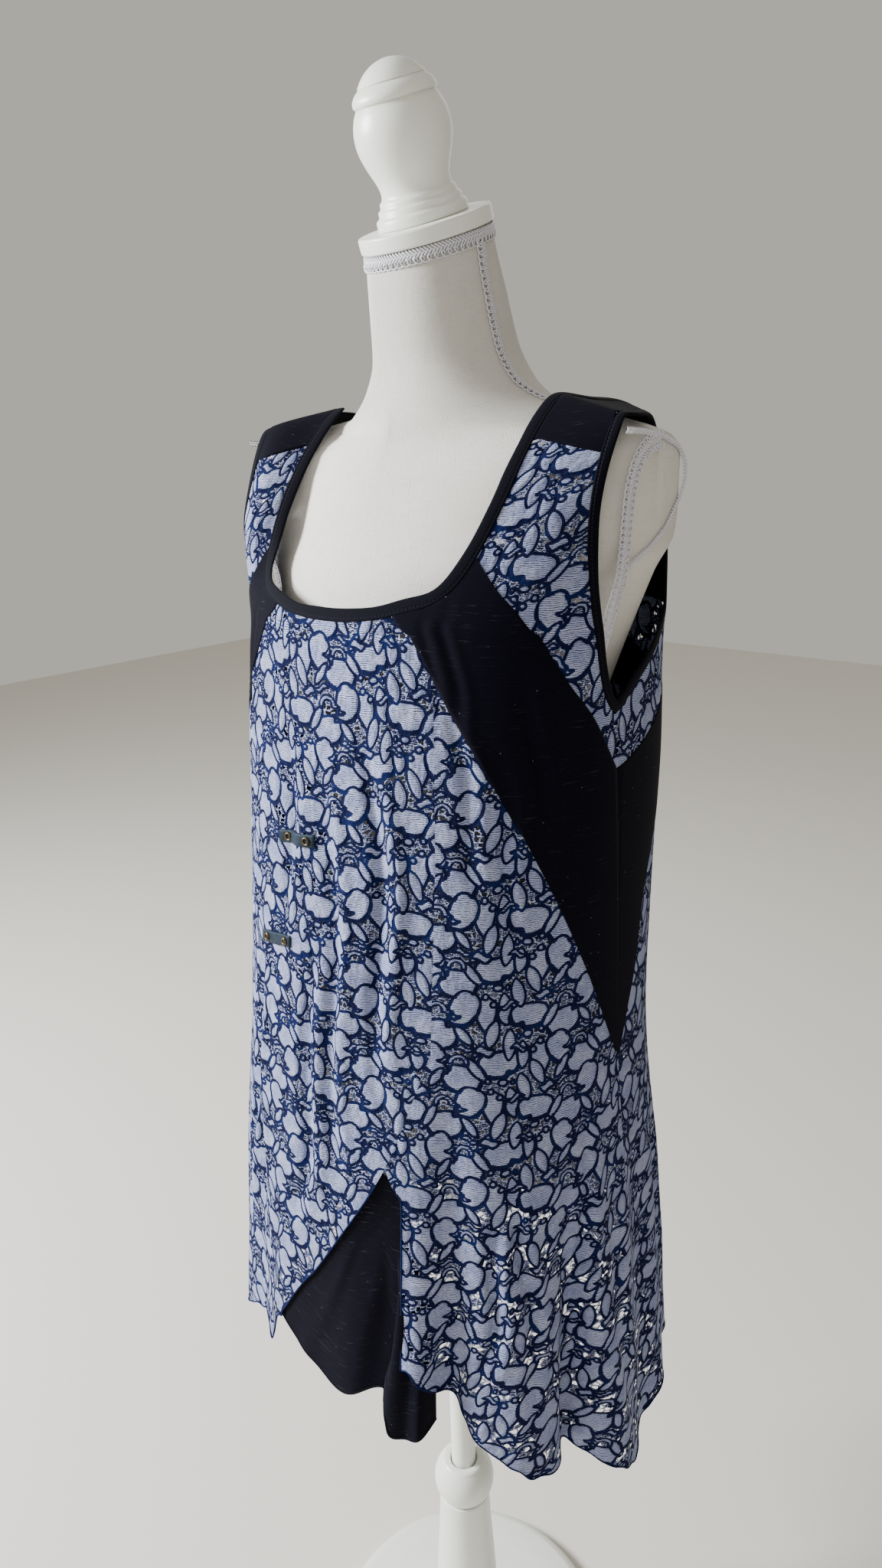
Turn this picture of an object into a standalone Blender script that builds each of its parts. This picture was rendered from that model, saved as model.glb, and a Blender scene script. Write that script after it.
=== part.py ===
"""A sleeveless A-line tunic top worn on a limbless dress form with a turned stand.

Metres, +Z up. The front faces -Y, the wearer's left is +X, and the pole of the stand is the Z axis.

The cloth is one surface, cloth_point(angle, level). Angle is in degrees round the body from the
centre front (0) past the wearer's left side seam (90) to the centre back (180). Level is the height
above the floor up to the bust, and a measure along the cloth from the bust to the shoulder ridge.
Every panel is a patch of that surface between its two edges, as thick as its cloth, and every edge
stops half a seam gap short of the line that it shares with the next panel.
"""

import math

import bmesh
import bpy
import numpy as np
from mathutils import Matrix, Vector

# ---------------------------------------------------------------- sizes

SEAM_GAP = 0.0003
LACE_THICK = 0.0012
JERSEY_THICK = 0.0012
BINDING_THICK = 0.0022
BINDING_WIDTH = 0.0095
ARMHOLE_BINDING = 0.0075

COLUMN_STEP = 6.0           # degrees between the columns of points round the cloth
NARROWEST = 0.9             # degrees, a row narrower than this becomes the tip where both edges meet
SLOPE_STEP = 0.002          # the small steps over which the cloth's slope is measured
ANGLE_STEP = 0.5

BUST = 1.27                 # level where the cloth starts to lean back to the shoulders
RIDGE = 1.49                # level of the shoulder ridge
RIDGE_HEIGHT = 1.438        # height of the ridge beside the neck
RIDGE_START = 0.100         # how far from the middle it starts to fall
RIDGE_FALL = 0.29           # metres down for each metre out
RIDGE_CLIMB = 0.03          # how far inward of its start the ridge still climbs
RIDGE_Y = 0.018
RIDGE_NARROWING = 0.97
CHEST_ROUND = 1.3           # roundness of the profile from bust to ridge: 1 straight, 2 an ellipse
BLADE_ROUND = (2.6, 5.0)    # the same for the back: at its middle, and over the shoulders
BLADE_SPREAD = 50.0         # degrees from the centre back over which it changes
SHOULDER_SWING = 18.0       # degrees that the right shoulder is swung forward round the Z axis
SWING_REACH = (0.09, 0.16)  # how far out from the middle the swing starts and is full
SWING_HEIGHT = (1.25, 1.35) # the heights where it starts and is full
SKIRT_TOP = 0.82            # level below which the rows of points turn to follow the hem
SKIRT_LOW = 0.46            # the level that stands for the hem itself

GARMENT_RINGS = (
    # height, half_width, front_y, back_y, side_seam_y, front_roundness, back_roundness
    (0.47, 0.226, -0.218, 0.200, -0.003, 2.2, 2.2),
    (0.60, 0.218, -0.208, 0.190, -0.003, 2.2, 2.2),
    (0.72, 0.208, -0.195, 0.178, -0.002, 2.2, 2.2),
    (0.82, 0.199, -0.184, 0.166, -0.002, 2.2, 2.2),
    (0.92, 0.190, -0.173, 0.154, -0.002, 2.2, 2.3),
    (1.00, 0.187, -0.164, 0.145, -0.001, 2.2, 2.5),
    (1.08, 0.186, -0.155, 0.147, -0.002, 2.2, 2.65),
    (1.16, 0.185, -0.147, 0.153, -0.006, 2.1, 2.8),
    (1.23, 0.184, -0.140, 0.156, -0.011, 2.0, 2.8),
    (1.27, 0.182, -0.134, 0.165, -0.012, 1.95, 2.8),
)

# Soft upright troughs in the cloth. Each reaches its full depth at the hem and dies out at its top.
FOLDS = (
    # angle, half_width (degrees), depth, top
    (12.0, 7.0, -0.006, 0.86),
    (29.0, 4.5, -0.009, 0.80),
    (38.0, 5.0, 0.018, 1.00),
    (55.0, 6.0, -0.010, 0.92),
    (71.0, 4.2, 0.030, 0.86),
    (82.0, 6.5, -0.010, 0.84),
    (97.0, 6.0, 0.014, 0.96),
    (118.0, 7.0, 0.016, 1.02),
    (141.0, 6.0, 0.012, 0.90),
    (163.0, 7.0, 0.018, 1.04),
    (186.0, 6.0, 0.010, 0.92),
    (207.0, 7.0, 0.019, 1.06),
    (231.0, 6.0, 0.011, 0.90),
    (252.0, 7.0, 0.017, 0.98),
    (274.0, 6.0, 0.012, 0.88),
    (296.0, 6.0, 0.014, 0.94),
    (318.0, 6.0, 0.006, 0.86),
    (338.0, 6.0, 0.007, 0.90),
)
FOLD_FULL = 0.56            # height at which a fold has its full depth

LACE_HEM = (
    # angle, height
    (-10.0, 0.636),
    (0.0, 0.640),
    (20.0, 0.655),
    (26.0, 0.656),
    (33.0, 0.634),
    (38.0, 0.624),
    (43.0, 0.588),
    (50.0, 0.572),
    (58.0, 0.552),
    (65.0, 0.541),
    (71.0, 0.537),
    (75.0, 0.531),
    (82.0, 0.511),
    (92.0, 0.487),
    (100.0, 0.502),
    (112.0, 0.520),
    (135.0, 0.512),
    (158.0, 0.530),
    (180.0, 0.516),
    (203.0, 0.532),
    (226.0, 0.514),
    (248.0, 0.524),
    (262.0, 0.500),
    (272.0, 0.490),
    (286.0, 0.526),
    (304.0, 0.548),
    (322.0, 0.572),
    (335.0, 0.602),
    (343.0, 0.612),
    (346.0, 0.596),
    (350.0, 0.636),
)
INSET_HEM = (
    # angle, height: a slanting edge, a level one, then the low rounded end of the fold
    (-12.0, 0.642),
    (-2.0, 0.617),
    (7.0, 0.604),
    (9.0, 0.605),
    (19.5, 0.6225),
    (23.5, 0.585),
    (28.0, 0.5875),
    (32.0, 0.592),
    (36.0, 0.602),
)

# Levels of the rows of points that every panel shares, from the hem up to the shoulder ridge.
# The seam lines below turn only at these levels, so that neighbouring panels follow the same line.
ROWS = (
    0.460, 0.505, 0.550, 0.600, 0.650, 0.705, 0.760, 0.820, 0.840, 0.872,
    0.907, 0.945, 0.979, 1.038, 1.072, 1.105, 1.160, 1.203, 1.218, 1.236,
    1.269, 1.286, 1.300, 1.320, 1.340, 1.360, 1.385, 1.403, 1.420, 1.440,
    1.460, 1.475, 1.490,
)

# Seam lines, as angles from the centre front or the centre back.
FRONT_BAND_LOWER = (
    # level, angle
    (0.907, 90.0),
    (0.979, 81.0),
    (1.038, 72.0),
    (1.105, 60.0),
    (1.160, 48.5),
    (1.203, 39.7),
    (1.236, 33.0),
    (1.286, 21.0),
)
FRONT_BAND_UPPER = (
    # level, angle
    (1.160, 90.0),
    (1.203, 80.5),
    (1.236, 69.8),
    (1.269, 61.2),
    (1.300, 54.5),
    (1.320, 47.0),
    (1.340, 39.3),
)
BACK_BAND_LOWER = (
    # level, angle
    (0.907, 90.0),
    (0.945, 86.0),
    (0.979, 82.0),
    (1.038, 78.0),
    (1.072, 72.0),
    (1.105, 62.0),
    (1.160, 36.0),
    (1.203, 10.0),
    (1.218, 0.0),
)
BACK_BAND_UPPER = (
    # level, angle
    (1.160, 90.0),
    (1.203, 58.0),
    (1.218, 36.0),
    (1.236, 22.0),
    (1.269, 0.0),
)
ARMHOLE_FRONT = (
    # level, angle
    (1.203, 90.0),
    (1.218, 85.5),
    (1.236, 83.2),
    (1.269, 81.2),
    (1.300, 79.2),
    (1.326, 76.8),
    (1.358, 73.0),
    (1.385, 70.8),
    (1.420, 69.6),
    (1.460, 69.2),
    (1.490, 67.5),
)
ARMHOLE_BACK = (
    # level, angle
    (1.203, 90.0),
    (1.218, 86.0),
    (1.236, 77.0),
    (1.269, 60.0),
    (1.286, 50.0),
    (1.300, 46.5),
    (1.340, 45.0),
    (1.385, 45.0),
    (1.420, 48.0),
    (1.460, 56.0),
    (1.475, 62.0),
    (1.490, 70.0),
)
NECK_FRONT = (
    # level, angle: from the flat bottom of the neck up to the ridge
    (1.286, 21.0),
    (1.300, 31.0),
    (1.320, 36.5),
    (1.340, 39.3),
    (1.360, 41.0),
    (1.385, 42.0),
    (1.490, 42.0),
)
NECK_BACK = (
    # level, angle
    (1.375, 8.0),
    (1.385, 27.0),
    (1.403, 35.5),
    (1.420, 39.0),
    (1.440, 41.0),
    (1.460, 42.0),
    (1.490, 42.0),
)
NECK_DIP = 0.0094           # the flat bottom of the front neck bows down this much in its middle
NECK_DIP_REACH = 0.075      # level over which the bow dies out above and below the neck edge
NECK_DIP_ROUND = 2.3        # how flat the middle of the bow is: 2 is a plain curve
NECK_DIP_SPREAD = 30.0      # degrees over which the bow dies out past the bottom's corners
NECK_MIDDLE = Vector((0.0, 0.0, 1.42))
ARMHOLE_MIDDLE = Vector((0.20, 0.01, 1.33))

LONG_SEAM = 33.0            # angle of the upright seam between the two front laces
SLIT_EDGE = (
    # height, angle: the slanted edge of the right front lace, from the hem up to the long seam
    (0.640, -9.0),
    (0.752, 7.4),
    (0.840, 21.0),
    (0.945, 33.0),
)
SLIT_APEX = 0.840           # height where the seam opens
SLIT_UPRIGHT = 25.2         # angle of the slit's upright edge
SLIT_CORNER = 0.800         # height by which that edge stands upright
YOKE_TOP = 1.420            # level of the seam between the front yokes and the shoulders

QUARTERS = {
    # which half: the band's inner edge, its upper edge with the neck's edge above it, the edge of
    # the armhole, the level where the band ends and the level where the yoke ends
    "front": (
        FRONT_BAND_LOWER + NECK_FRONT[1:],
        FRONT_BAND_UPPER + NECK_FRONT[4:],
        ARMHOLE_FRONT,
        FRONT_BAND_UPPER[-1][0],
        YOKE_TOP,
    ),
    "back": (
        BACK_BAND_LOWER,
        BACK_BAND_UPPER,
        ARMHOLE_BACK,
        BACK_BAND_UPPER[-1][0],
        BACK_BAND_UPPER[-1][0],
    ),
}

INSET_BEHIND = (0.0026, 0.0060)  # how far the inset hangs behind the lace: where sewn, and farther on
INSET_EASE = 9.0            # degrees over which it moves back from its sewn edge
INSET_LAP = 1.2             # degrees that it reaches past the slanted edge
INSET_UNDERLAP = 9.5        # degrees that it reaches past the upright edge at the hem
INSET_SPREAD = 0.22         # how far below the slit's top it reaches that far
INSET_SEWN = 0.010          # how far below the slit's top it starts

LACE_REPEAT = (360.0 / 11.0, 0.095)  # degrees round the body, metres of height
LACE_GAPS = (
    # across (share of the repeat), up (share of the repeat), width, height
    (0.22, 0.30, 0.0068, 0.0056),
    (0.71, 0.12, 0.0062, 0.0060),
)
GAP_MARGIN = 0.0016

TAB_LENGTH = 0.048
TAB_HEIGHT = 0.0108
TAB_SHIFT = 0.002       # the tab reaches this much further to the wearer's right of its eyelets
TAB_THICK = 0.0016
TABS = (
    # name, angle of its middle, height of its middle, rise to the wearer's left
    ("tab_upper", -6.5, 1.098, 0.006),
    ("tab_lower", -14.5, 1.002, 0.010),
)
EYELET_SPACING = 0.030
EYELET_RADIUS = 0.0038
EYELET_HOLE = 0.0019
EYELET_HEIGHT = 0.0011

FORM_RINGS = (
    # height, middle_y, half_width, front_depth, back_depth, forward_tilt (degrees), then the
    # roundness of the front and of the back
    (0.7600, 0.004, 0.130, 0.078, 0.084, 0.0, 2.2, 2.2),
    (0.7630, 0.004, 0.142, 0.086, 0.092, 0.0, 2.2, 2.2),
    (0.7740, 0.004, 0.150, 0.092, 0.098, 0.0, 2.2, 2.2),
    (0.8300, 0.004, 0.158, 0.100, 0.108, 0.0, 2.2, 2.2),
    (0.9000, 0.004, 0.155, 0.100, 0.106, 0.0, 2.2, 2.2),
    (0.9800, 0.004, 0.136, 0.092, 0.090, 0.0, 2.2, 2.2),
    (1.0600, 0.004, 0.122, 0.086, 0.080, 0.0, 2.2, 2.2),
    (1.1300, 0.006, 0.130, 0.100, 0.082, 0.0, 2.2, 2.2),
    (1.2000, 0.014, 0.148, 0.128, 0.084, 0.0, 2.2, 2.2),
    (1.2500, 0.028, 0.159, 0.149, 0.084, 0.0, 2.1, 2.3),
    (1.3000, 0.045, 0.172, 0.154, 0.078, 0.0, 2.0, 2.4),
    (1.3350, 0.052, 0.187, 0.139, 0.070, 0.0, 1.9, 2.6),
    (1.3750, 0.053, 0.188, 0.121, 0.069, 0.0, 1.75, 2.7),
    (1.3920, 0.054, 0.187, 0.112, 0.068, 0.0, 1.65, 2.7),
    (1.4030, 0.053, 0.180, 0.1065, 0.063, 0.0, 1.45, 2.7),
    (1.4105, 0.050, 0.164, 0.1005, 0.057, 0.0, 1.3, 2.5),
    (1.4240, 0.038, 0.114, 0.0850, 0.060, 1.0, 1.6, 2.2),
    (1.4340, 0.030, 0.087, 0.0755, 0.064, 3.0, 1.9, 2.0),
    (1.4480, 0.024, 0.0705, 0.0680, 0.063, 6.0, 2.0, 2.0),
    (1.4720, 0.018, 0.0585, 0.0600, 0.0600, 10.0, 2.0, 2.0),
    (1.5020, 0.011, 0.0535, 0.0565, 0.0590, 14.0, 2.0, 2.0),
    (1.5300, 0.005, 0.0508, 0.0530, 0.0540, 17.0, 2.0, 2.0),
    (1.5525, 0.001, 0.0500, 0.0495, 0.0495, 19.4, 2.0, 2.0),
)
FORM_SEGMENTS = 36
ARM_PLATE_X = 0.1780        # the form is cut flat here under each shoulder
ARM_PLATE_TOP = 1.405

NECK_TILT = 19.4            # degrees that the neck cap leans forward
NECK_DISC_BASE = Vector((0.0, 0.001, 1.5529))
DISC_THICK = 0.012
DISC_RADIUS = 0.0528
DISC_EDGE = 0.0015
FINIAL_STEM = (
    # radius, height above the disc: three flange steps, the throat and the belly up to its groove
    (0.0, 0.0),
    (0.0356, 0.0),
    (0.0356, 0.0070),
    (0.0325, 0.0088),
    (0.0325, 0.0128),
    (0.0300, 0.0144),
    (0.0300, 0.0178),
    (0.0274, 0.0200),
    (0.0270, 0.0255),
    (0.0290, 0.0322),
    (0.0338, 0.0447),
    (0.0366, 0.0570),
    (0.0361, 0.0650),
    (0.0340, 0.0720),
    (0.0298, 0.0796),
)
FINIAL_BEAD = (
    # radius, height above the disc: the sloping bead between the belly's groove and the dome's
    (0.0314, 0.0806),
    (0.0318, 0.0829),
    (0.0302, 0.0867),
    (0.0268, 0.0900),
    (0.0248, 0.0914),
)
FINIAL_DOME = (0.0, 0.0755, 0.0302)     # radius and height of its middle, its own radius
DOME_FROM = 58.0                        # degrees from straight up

BRAID_WIDTH = 0.0105
BRAID_THICK = 0.0024
BRAID_STANDOFF = 0.0004
NECK_BRAID_DROP = 0.0064    # from the top of the neck to the middle of its braid
SIDE_BRAID = (
    # height, angle from the centre front
    (1.5385, 92.0),
    (1.5200, 91.0),
    (1.5060, 90.0),
    (1.4920, 89.0),
    (1.4780, 88.0),
    (1.4640, 87.0),
    (1.4500, 86.5),
    (1.4385, 88.0),
    (1.4300, 90.0),
)
PLATE_STEPS = 24
PLATE_STANDOFF = 0.0006
PLATE_BRAID = (0.055, 1.356, 0.037, 0.042)  # middle y and z, half length along y and z

POLE_RADIUS = 0.0136
BALL_RADIUS = 0.0336
BALL_HEIGHT = 0.2786
BALL_STEP = 12.0            # degrees between the rings of the ball and of the cup that it sits in
BALL_NECK = 48.0            # degrees from its top where the ball's rim starts
CUP_EDGE = 132.0            # degrees from its top down to the cup's edge
COLUMN_TOP = BALL_HEIGHT + BALL_RADIUS * math.cos(math.radians(CUP_EDGE))
COLUMN_RIM = 0.0278
BASE_RADIUS = 0.160
BASE_HEIGHT = 0.034
COLLAR_HEIGHT = 0.012

FORM_COLLAR = ((0.0, 0.0), (0.036, 0.0), (0.040, 0.004), (0.040, COLLAR_HEIGHT), (0.0, COLLAR_HEIGHT))
BALL_RIM = (
    # radius, height above the middle of the ball: two steps up to the flat ring round the pole
    (0.0235, 0.0236),
    (0.0228, 0.0262),
    (0.0, 0.0262),
)
COLUMN_PROFILE = (
    # radius, height
    (0.0465, 0.046),
    (0.0400, 0.052),
    (0.0400, 0.060),
    (0.0372, 0.078),
    (0.0362, 0.100),
    (0.0345, 0.135),
    (0.0318, 0.180),
    (0.0295, 0.220),
    (0.0283, 0.250),
)
BASE_PROFILE = (
    # radius, height
    (BASE_RADIUS - 0.002, 0.0),
    (BASE_RADIUS, 0.002),
    (BASE_RADIUS, 0.014),
    (0.150, 0.019),
    (0.120, 0.0235),
    (0.080, 0.0270),
    (0.0600, 0.0300),
    (0.0560, BASE_HEIGHT),
)
BASE_SEGMENTS = 40

TURNED_SEGMENTS = 24


# ---------------------------------------------------------------- materials

def material(name, colour, roughness, metallic=0.0):
    """Give a Principled material of one colour."""
    made = bpy.data.materials.new(name)
    made.use_nodes = True
    shader = made.node_tree.nodes["Principled BSDF"]
    shader.inputs["Base Color"].default_value = (*colour, 1.0)
    shader.inputs["Roughness"].default_value = roughness
    shader.inputs["Metallic"].default_value = metallic
    return made


COLOURS = {
    # name: (linear colour, roughness, metallic)
    "lace": ((0.52, 0.55, 0.72), 0.85, 0.0),
    "jersey": ((0.008, 0.008, 0.016), 0.80, 0.0),
    "binding": ((0.004, 0.004, 0.008), 0.75, 0.0),
    "leather": ((0.012, 0.026, 0.042), 0.50, 0.0),
    "brass": ((0.26, 0.19, 0.10), 0.35, 1.0),
    "linen": ((0.76, 0.72, 0.65), 0.90, 0.0),
    "braid": ((0.70, 0.70, 0.72), 0.60, 0.0),
    "paint": ((0.72, 0.74, 0.70), 0.35, 0.0),
}


def own_material(node, kind):
    """Each node has a material of its own, in the colour of its kind."""
    colour, roughness, metallic = COLOURS[kind]
    return material(node + "_" + kind, colour, roughness, metallic)


# ---------------------------------------------------------------- meshes

def add_object(name, points, faces, kind, smooth_angle=40.0):
    """Make one closed object from points and faces, with its faces pointing out."""
    mesh = bpy.data.meshes.new(name)
    mesh.from_pydata([tuple(point) for point in points], [], faces)
    shaped = bmesh.new()
    shaped.from_mesh(mesh)
    bmesh.ops.recalc_face_normals(shaped, faces=shaped.faces)
    shaped.to_mesh(mesh)
    shaped.free()
    mesh.shade_smooth()
    mesh.set_sharp_from_angle(angle=math.radians(smooth_angle))
    mesh.materials.append(own_material(name, kind))
    made = bpy.data.objects.new(name, mesh)
    bpy.context.scene.collection.objects.link(made)
    return made


def add_turned(name, profile, kind, base=Vector((0, 0, 0)), tilt=0.0, segments=TURNED_SEGMENTS):
    """Spin a profile of (radius, height) pairs about its axis, then tilt it forward onto its base."""
    turned = bmesh.new()
    outline = [turned.verts.new((radius, 0.0, height)) for radius, height in profile]
    edges = [turned.edges.new(pair) for pair in zip(outline, outline[1:])]
    bmesh.ops.spin(
        turned,
        geom=outline + edges,
        axis=(0, 0, 1),
        cent=(0, 0, 0),
        angle=math.tau,
        steps=segments,
        use_merge=True,
    )
    bmesh.ops.remove_doubles(turned, verts=turned.verts, dist=0.00001)
    bmesh.ops.recalc_face_normals(turned, faces=turned.faces)
    turned.transform(Matrix.Translation(base) @ Matrix.Rotation(math.radians(tilt), 4, "X"))
    mesh = bpy.data.meshes.new(name)
    turned.to_mesh(mesh)
    turned.free()
    mesh.shade_smooth()
    mesh.set_sharp_from_angle(angle=math.radians(40.0))
    mesh.materials.append(own_material(name, kind))
    made = bpy.data.objects.new(name, mesh)
    bpy.context.scene.collection.objects.link(made)
    return made


def arc(middle_radius, middle_height, radius, start, end, steps):
    """Points of a profile on a round, from one angle to another, in degrees from straight up."""
    angles = [math.radians(start + (end - start) * step / steps) for step in range(steps + 1)]
    return [
        (middle_radius + radius * math.sin(angle), middle_height + radius * math.cos(angle))
        for angle in angles
    ]


def add_strip(name, path, sides, normals, width, thick, standoff, kind, closed=True):
    """Make a flat strip beside a path, as wide as told to its side and as thick along its normals."""
    low = standoff
    high = standoff + thick
    points = []
    for spot, side, normal in zip(path, sides, normals):
        near = spot + side * width[0]
        far = spot + side * width[1]
        points += [near + normal * low, far + normal * low, far + normal * high, near + normal * high]
    count = len(path)
    faces = []
    for step in range(count if closed else count - 1):
        here = 4 * step
        there = 4 * ((step + 1) % count)
        for corner in range(4):
            turn = (corner + 1) % 4
            faces.append((here + corner, here + turn, there + turn, there + corner))
    if not closed:
        faces.append((0, 1, 2, 3))
        faces.append(tuple(4 * (count - 1) + corner for corner in (3, 2, 1, 0)))
    return add_object(name, points, faces, kind)


# ---------------------------------------------------------------- the cloth's surface

def column(table, index):
    """One named column of a table."""
    return [row[index] for row in table]


def table_value(table, where, index, key=0):
    """Read a column of a table at a value of its key column, along straight lines between rows."""
    return float(np.interp(where, column(table, key), column(table, index)))


def neck_bow(angle, level):
    """How much a level is lifted beside the middle of the front neck, whose bottom bows down."""
    apart = abs((angle + 180.0) % 360.0 - 180.0)
    corner = NECK_FRONT[0][1]
    fading = 1.0 - smooth_step((apart - corner) / NECK_DIP_SPREAD)
    wide = min(apart / corner, 1.0) ** NECK_DIP_ROUND * fading
    near = 1.0 - smooth_step(abs(level - NECK_FRONT[0][0]) / NECK_DIP_REACH)
    return NECK_DIP * wide * near


def smooth_step(share):
    """Ease from 0 to 1."""
    share = min(max(share, 0.0), 1.0)
    return share * share * (3.0 - 2.0 * share)


def fold_depth(angle, height):
    """How far the folds draw the cloth in at a place."""
    depth = 0.0
    for middle, half_width, full_depth, top in FOLDS:
        apart = (angle - middle + 180.0) % 360.0 - 180.0
        swell = smooth_step((top - height) / (top - FOLD_FULL))
        depth += full_depth * swell * math.exp(-(apart / half_width) ** 2)
    return depth


def hem_height(hem, angle):
    """Height of a hem at an angle."""
    first = hem[0][0]
    turned = (angle - first) % 360.0 + first
    return table_value(hem, turned, 1)


def level_height(angle, level, hem):
    """Height of a level in the skirt, whose rows turn to follow the hem."""
    if level >= SKIRT_TOP:
        return level
    share = (level - SKIRT_LOW) / (SKIRT_TOP - SKIRT_LOW)
    low = hem_height(hem, angle)
    return low + share * (SKIRT_TOP - low)


def swung(spot):
    """Swing the right shoulder forward, its cloth together with the form inside it."""
    outward = smooth_step((-spot.x - SWING_REACH[0]) / (SWING_REACH[1] - SWING_REACH[0]))
    upward = smooth_step((spot.z - SWING_HEIGHT[0]) / (SWING_HEIGHT[1] - SWING_HEIGHT[0]))
    return Matrix.Rotation(math.radians(SHOULDER_SWING * outward * upward), 3, "Z") @ spot


def blade_round(angle):
    """Roundness of the back's profile: its middle slopes to the neck, its shoulders are square."""
    middle, shoulder = BLADE_ROUND
    apart = 180.0 - abs((angle + 180.0) % 360.0 - 180.0)
    return middle + (shoulder - middle) * smooth_step(apart / BLADE_SPREAD)


def cloth_point(angle, level, hem=LACE_HEM):
    """A point of the cloth. Past the ridge the level runs on, down the other side of the shoulder."""
    if level > RIDGE:
        angle = 180.0 - angle
        level = 2.0 * RIDGE - level
    level += neck_bow(angle, level)
    height = min(level_height(angle, level, hem), BUST)
    half_width, front, back, side = (table_value(GARMENT_RINGS, height, index) for index in (1, 2, 3, 4))
    across = math.sin(math.radians(angle))
    ahead = math.cos(math.radians(angle))
    power = 2.0 / table_value(GARMENT_RINGS, height, 5 if ahead > 0 else 6)
    x = half_width * math.copysign(abs(across) ** power, across)
    reach = front if ahead > 0 else back
    y = side + (reach - side) * abs(ahead) ** power
    if level > BUST:
        turn = math.radians(90.0) * (level - BUST) / (RIDGE - BUST)
        profile = 2.0 / (CHEST_ROUND if ahead > 0 else blade_round(angle))
        rise = math.sin(turn) ** profile
        x *= 1.0 + (RIDGE_NARROWING - 1.0) * rise
        top = RIDGE_HEIGHT - RIDGE_FALL * max(abs(x) - RIDGE_START, -RIDGE_CLIMB)
        y = RIDGE_Y + (y - RIDGE_Y) * abs(math.cos(turn)) ** profile
        return swung(Vector((x, y, BUST + (top - BUST) * rise)))
    outward = Vector((x, y - side, 0.0)).normalized()
    return swung(Vector((x, y, height)) - outward * fold_depth(angle, height))


def cloth_slopes(angle, level, hem=LACE_HEM):
    """How the cloth moves for one degree round, and for one metre of level."""
    round_body = cloth_point(angle + ANGLE_STEP, level, hem) - cloth_point(angle - ANGLE_STEP, level, hem)
    upward = cloth_point(angle, level + SLOPE_STEP, hem) - cloth_point(angle, level - SLOPE_STEP, hem)
    return round_body / (2.0 * ANGLE_STEP), upward / (2.0 * SLOPE_STEP)


def cloth_normal(angle, level, hem=LACE_HEM):
    """Direction out of the cloth."""
    round_body, upward = cloth_slopes(angle, level, hem)
    return round_body.cross(upward).normalized()


# ---------------------------------------------------------------- panels

def row_levels(low, high):
    """Levels of a panel's rows, with the shared ones mirrored over the shoulder ridge."""
    shared = list(ROWS) + [2.0 * RIDGE - level for level in ROWS[:-1]]
    inside = [level for level in sorted(shared) if low + 0.002 < level < high - 0.002]
    return [low] + inside + [high]


def drawn_in(edge, level, side, hem):
    """An edge's angle, moved in by half a seam gap measured square to the edge."""
    angle = edge(level)
    lean = (edge(level + SLOPE_STEP) - edge(level - SLOPE_STEP)) / (2.0 * SLOPE_STEP)
    round_body, upward = cloth_slopes(angle, level, hem)
    slant = lean * round_body.length / max(upward.length, 0.2)
    return angle + side * 0.5 * SEAM_GAP * math.sqrt(1.0 + slant * slant) / round_body.length


def meeting_level(width, narrow, wide):
    """The level between a wide and a narrow row where a panel's width comes down to nothing."""
    for _ in range(30):
        middle = 0.5 * (narrow + wide)
        if width(middle) > 0.0:
            wide = middle
        else:
            narrow = middle
    return wide


def panel_rows(left, right, levels, hem):
    """Rows of (angle, level, column) points: both edges and the shared columns between them."""
    def edges(level):
        return drawn_in(left, level, 1.0, hem), drawn_in(right, level, -1.0, hem)

    def width(level):
        start, end = edges(level)
        return end - start

    rows = []
    for place, level in enumerate(levels):
        start, end = edges(level)
        if end - start < NARROWEST:
            tip = meeting_level(width, level, levels[1] if place == 0 else levels[place - 1])
            rows.append([(0.5 * sum(edges(tip)), tip, "tip")])
            continue
        first = math.ceil((start + 0.25 * COLUMN_STEP) / COLUMN_STEP)
        last = math.floor((end - 0.25 * COLUMN_STEP) / COLUMN_STEP)
        row = [(start, level, "start")]
        row += [(index * COLUMN_STEP, level, index) for index in range(first, last + 1)]
        row.append((end, level, "end"))
        rows.append(row)
    return rows


def lace_gap_places(low, high, start, end):
    """Middles and sizes of the lace's largest gaps, in a half-drop repeat round the body."""
    across, tall = LACE_REPEAT
    places = []
    for turn in range(math.floor(start / across) - 1, math.ceil(end / across) + 1):
        drop = 0.5 * (turn % 2)
        for step in range(math.floor(low / tall) - 1, math.ceil(high / tall) + 1):
            for gap_across, gap_up, width, height in LACE_GAPS:
                angle = (turn + gap_across) * across
                level = (step + gap_up + drop) * tall
                places.append((angle, level, width, height))
    return places


def cut_gap(points, quad, places, hem):
    """Cut a gap in a four-cornered cell of the lace if one falls in it, and give the cell's faces."""
    low_left, low_right, high_right, high_left = (points[index] for index in quad)
    start, end = low_left[0], low_right[0]
    low, high = low_left[1], high_left[1]
    for angle, level, width, height in places:
        if not (start <= angle < end and low <= level < high):
            continue
        round_body, upward = cloth_slopes(angle, level, hem)
        half_angle = 0.5 * width / round_body.length
        half_level = 0.5 * height / upward.length
        room_angle = half_angle + GAP_MARGIN / round_body.length
        room_level = half_level + GAP_MARGIN / upward.length
        if end - start < 2.0 * room_angle or high - low < 2.0 * room_level:
            return [quad]
        middle = min(max(angle, start + room_angle), end - room_angle)
        rise = min(max(level, low + room_level), high - room_level)
        first = len(points)
        for turn_angle, turn_level in ((-1, -1), (1, -1), (1, 1), (-1, 1)):
            points.append((middle + turn_angle * half_angle, rise + turn_level * half_level))
        faces = []
        for corner in range(4):
            turn = (corner + 1) % 4
            faces.append((quad[corner], quad[turn], first + turn, first + corner))
        return faces
    return [quad]


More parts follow.
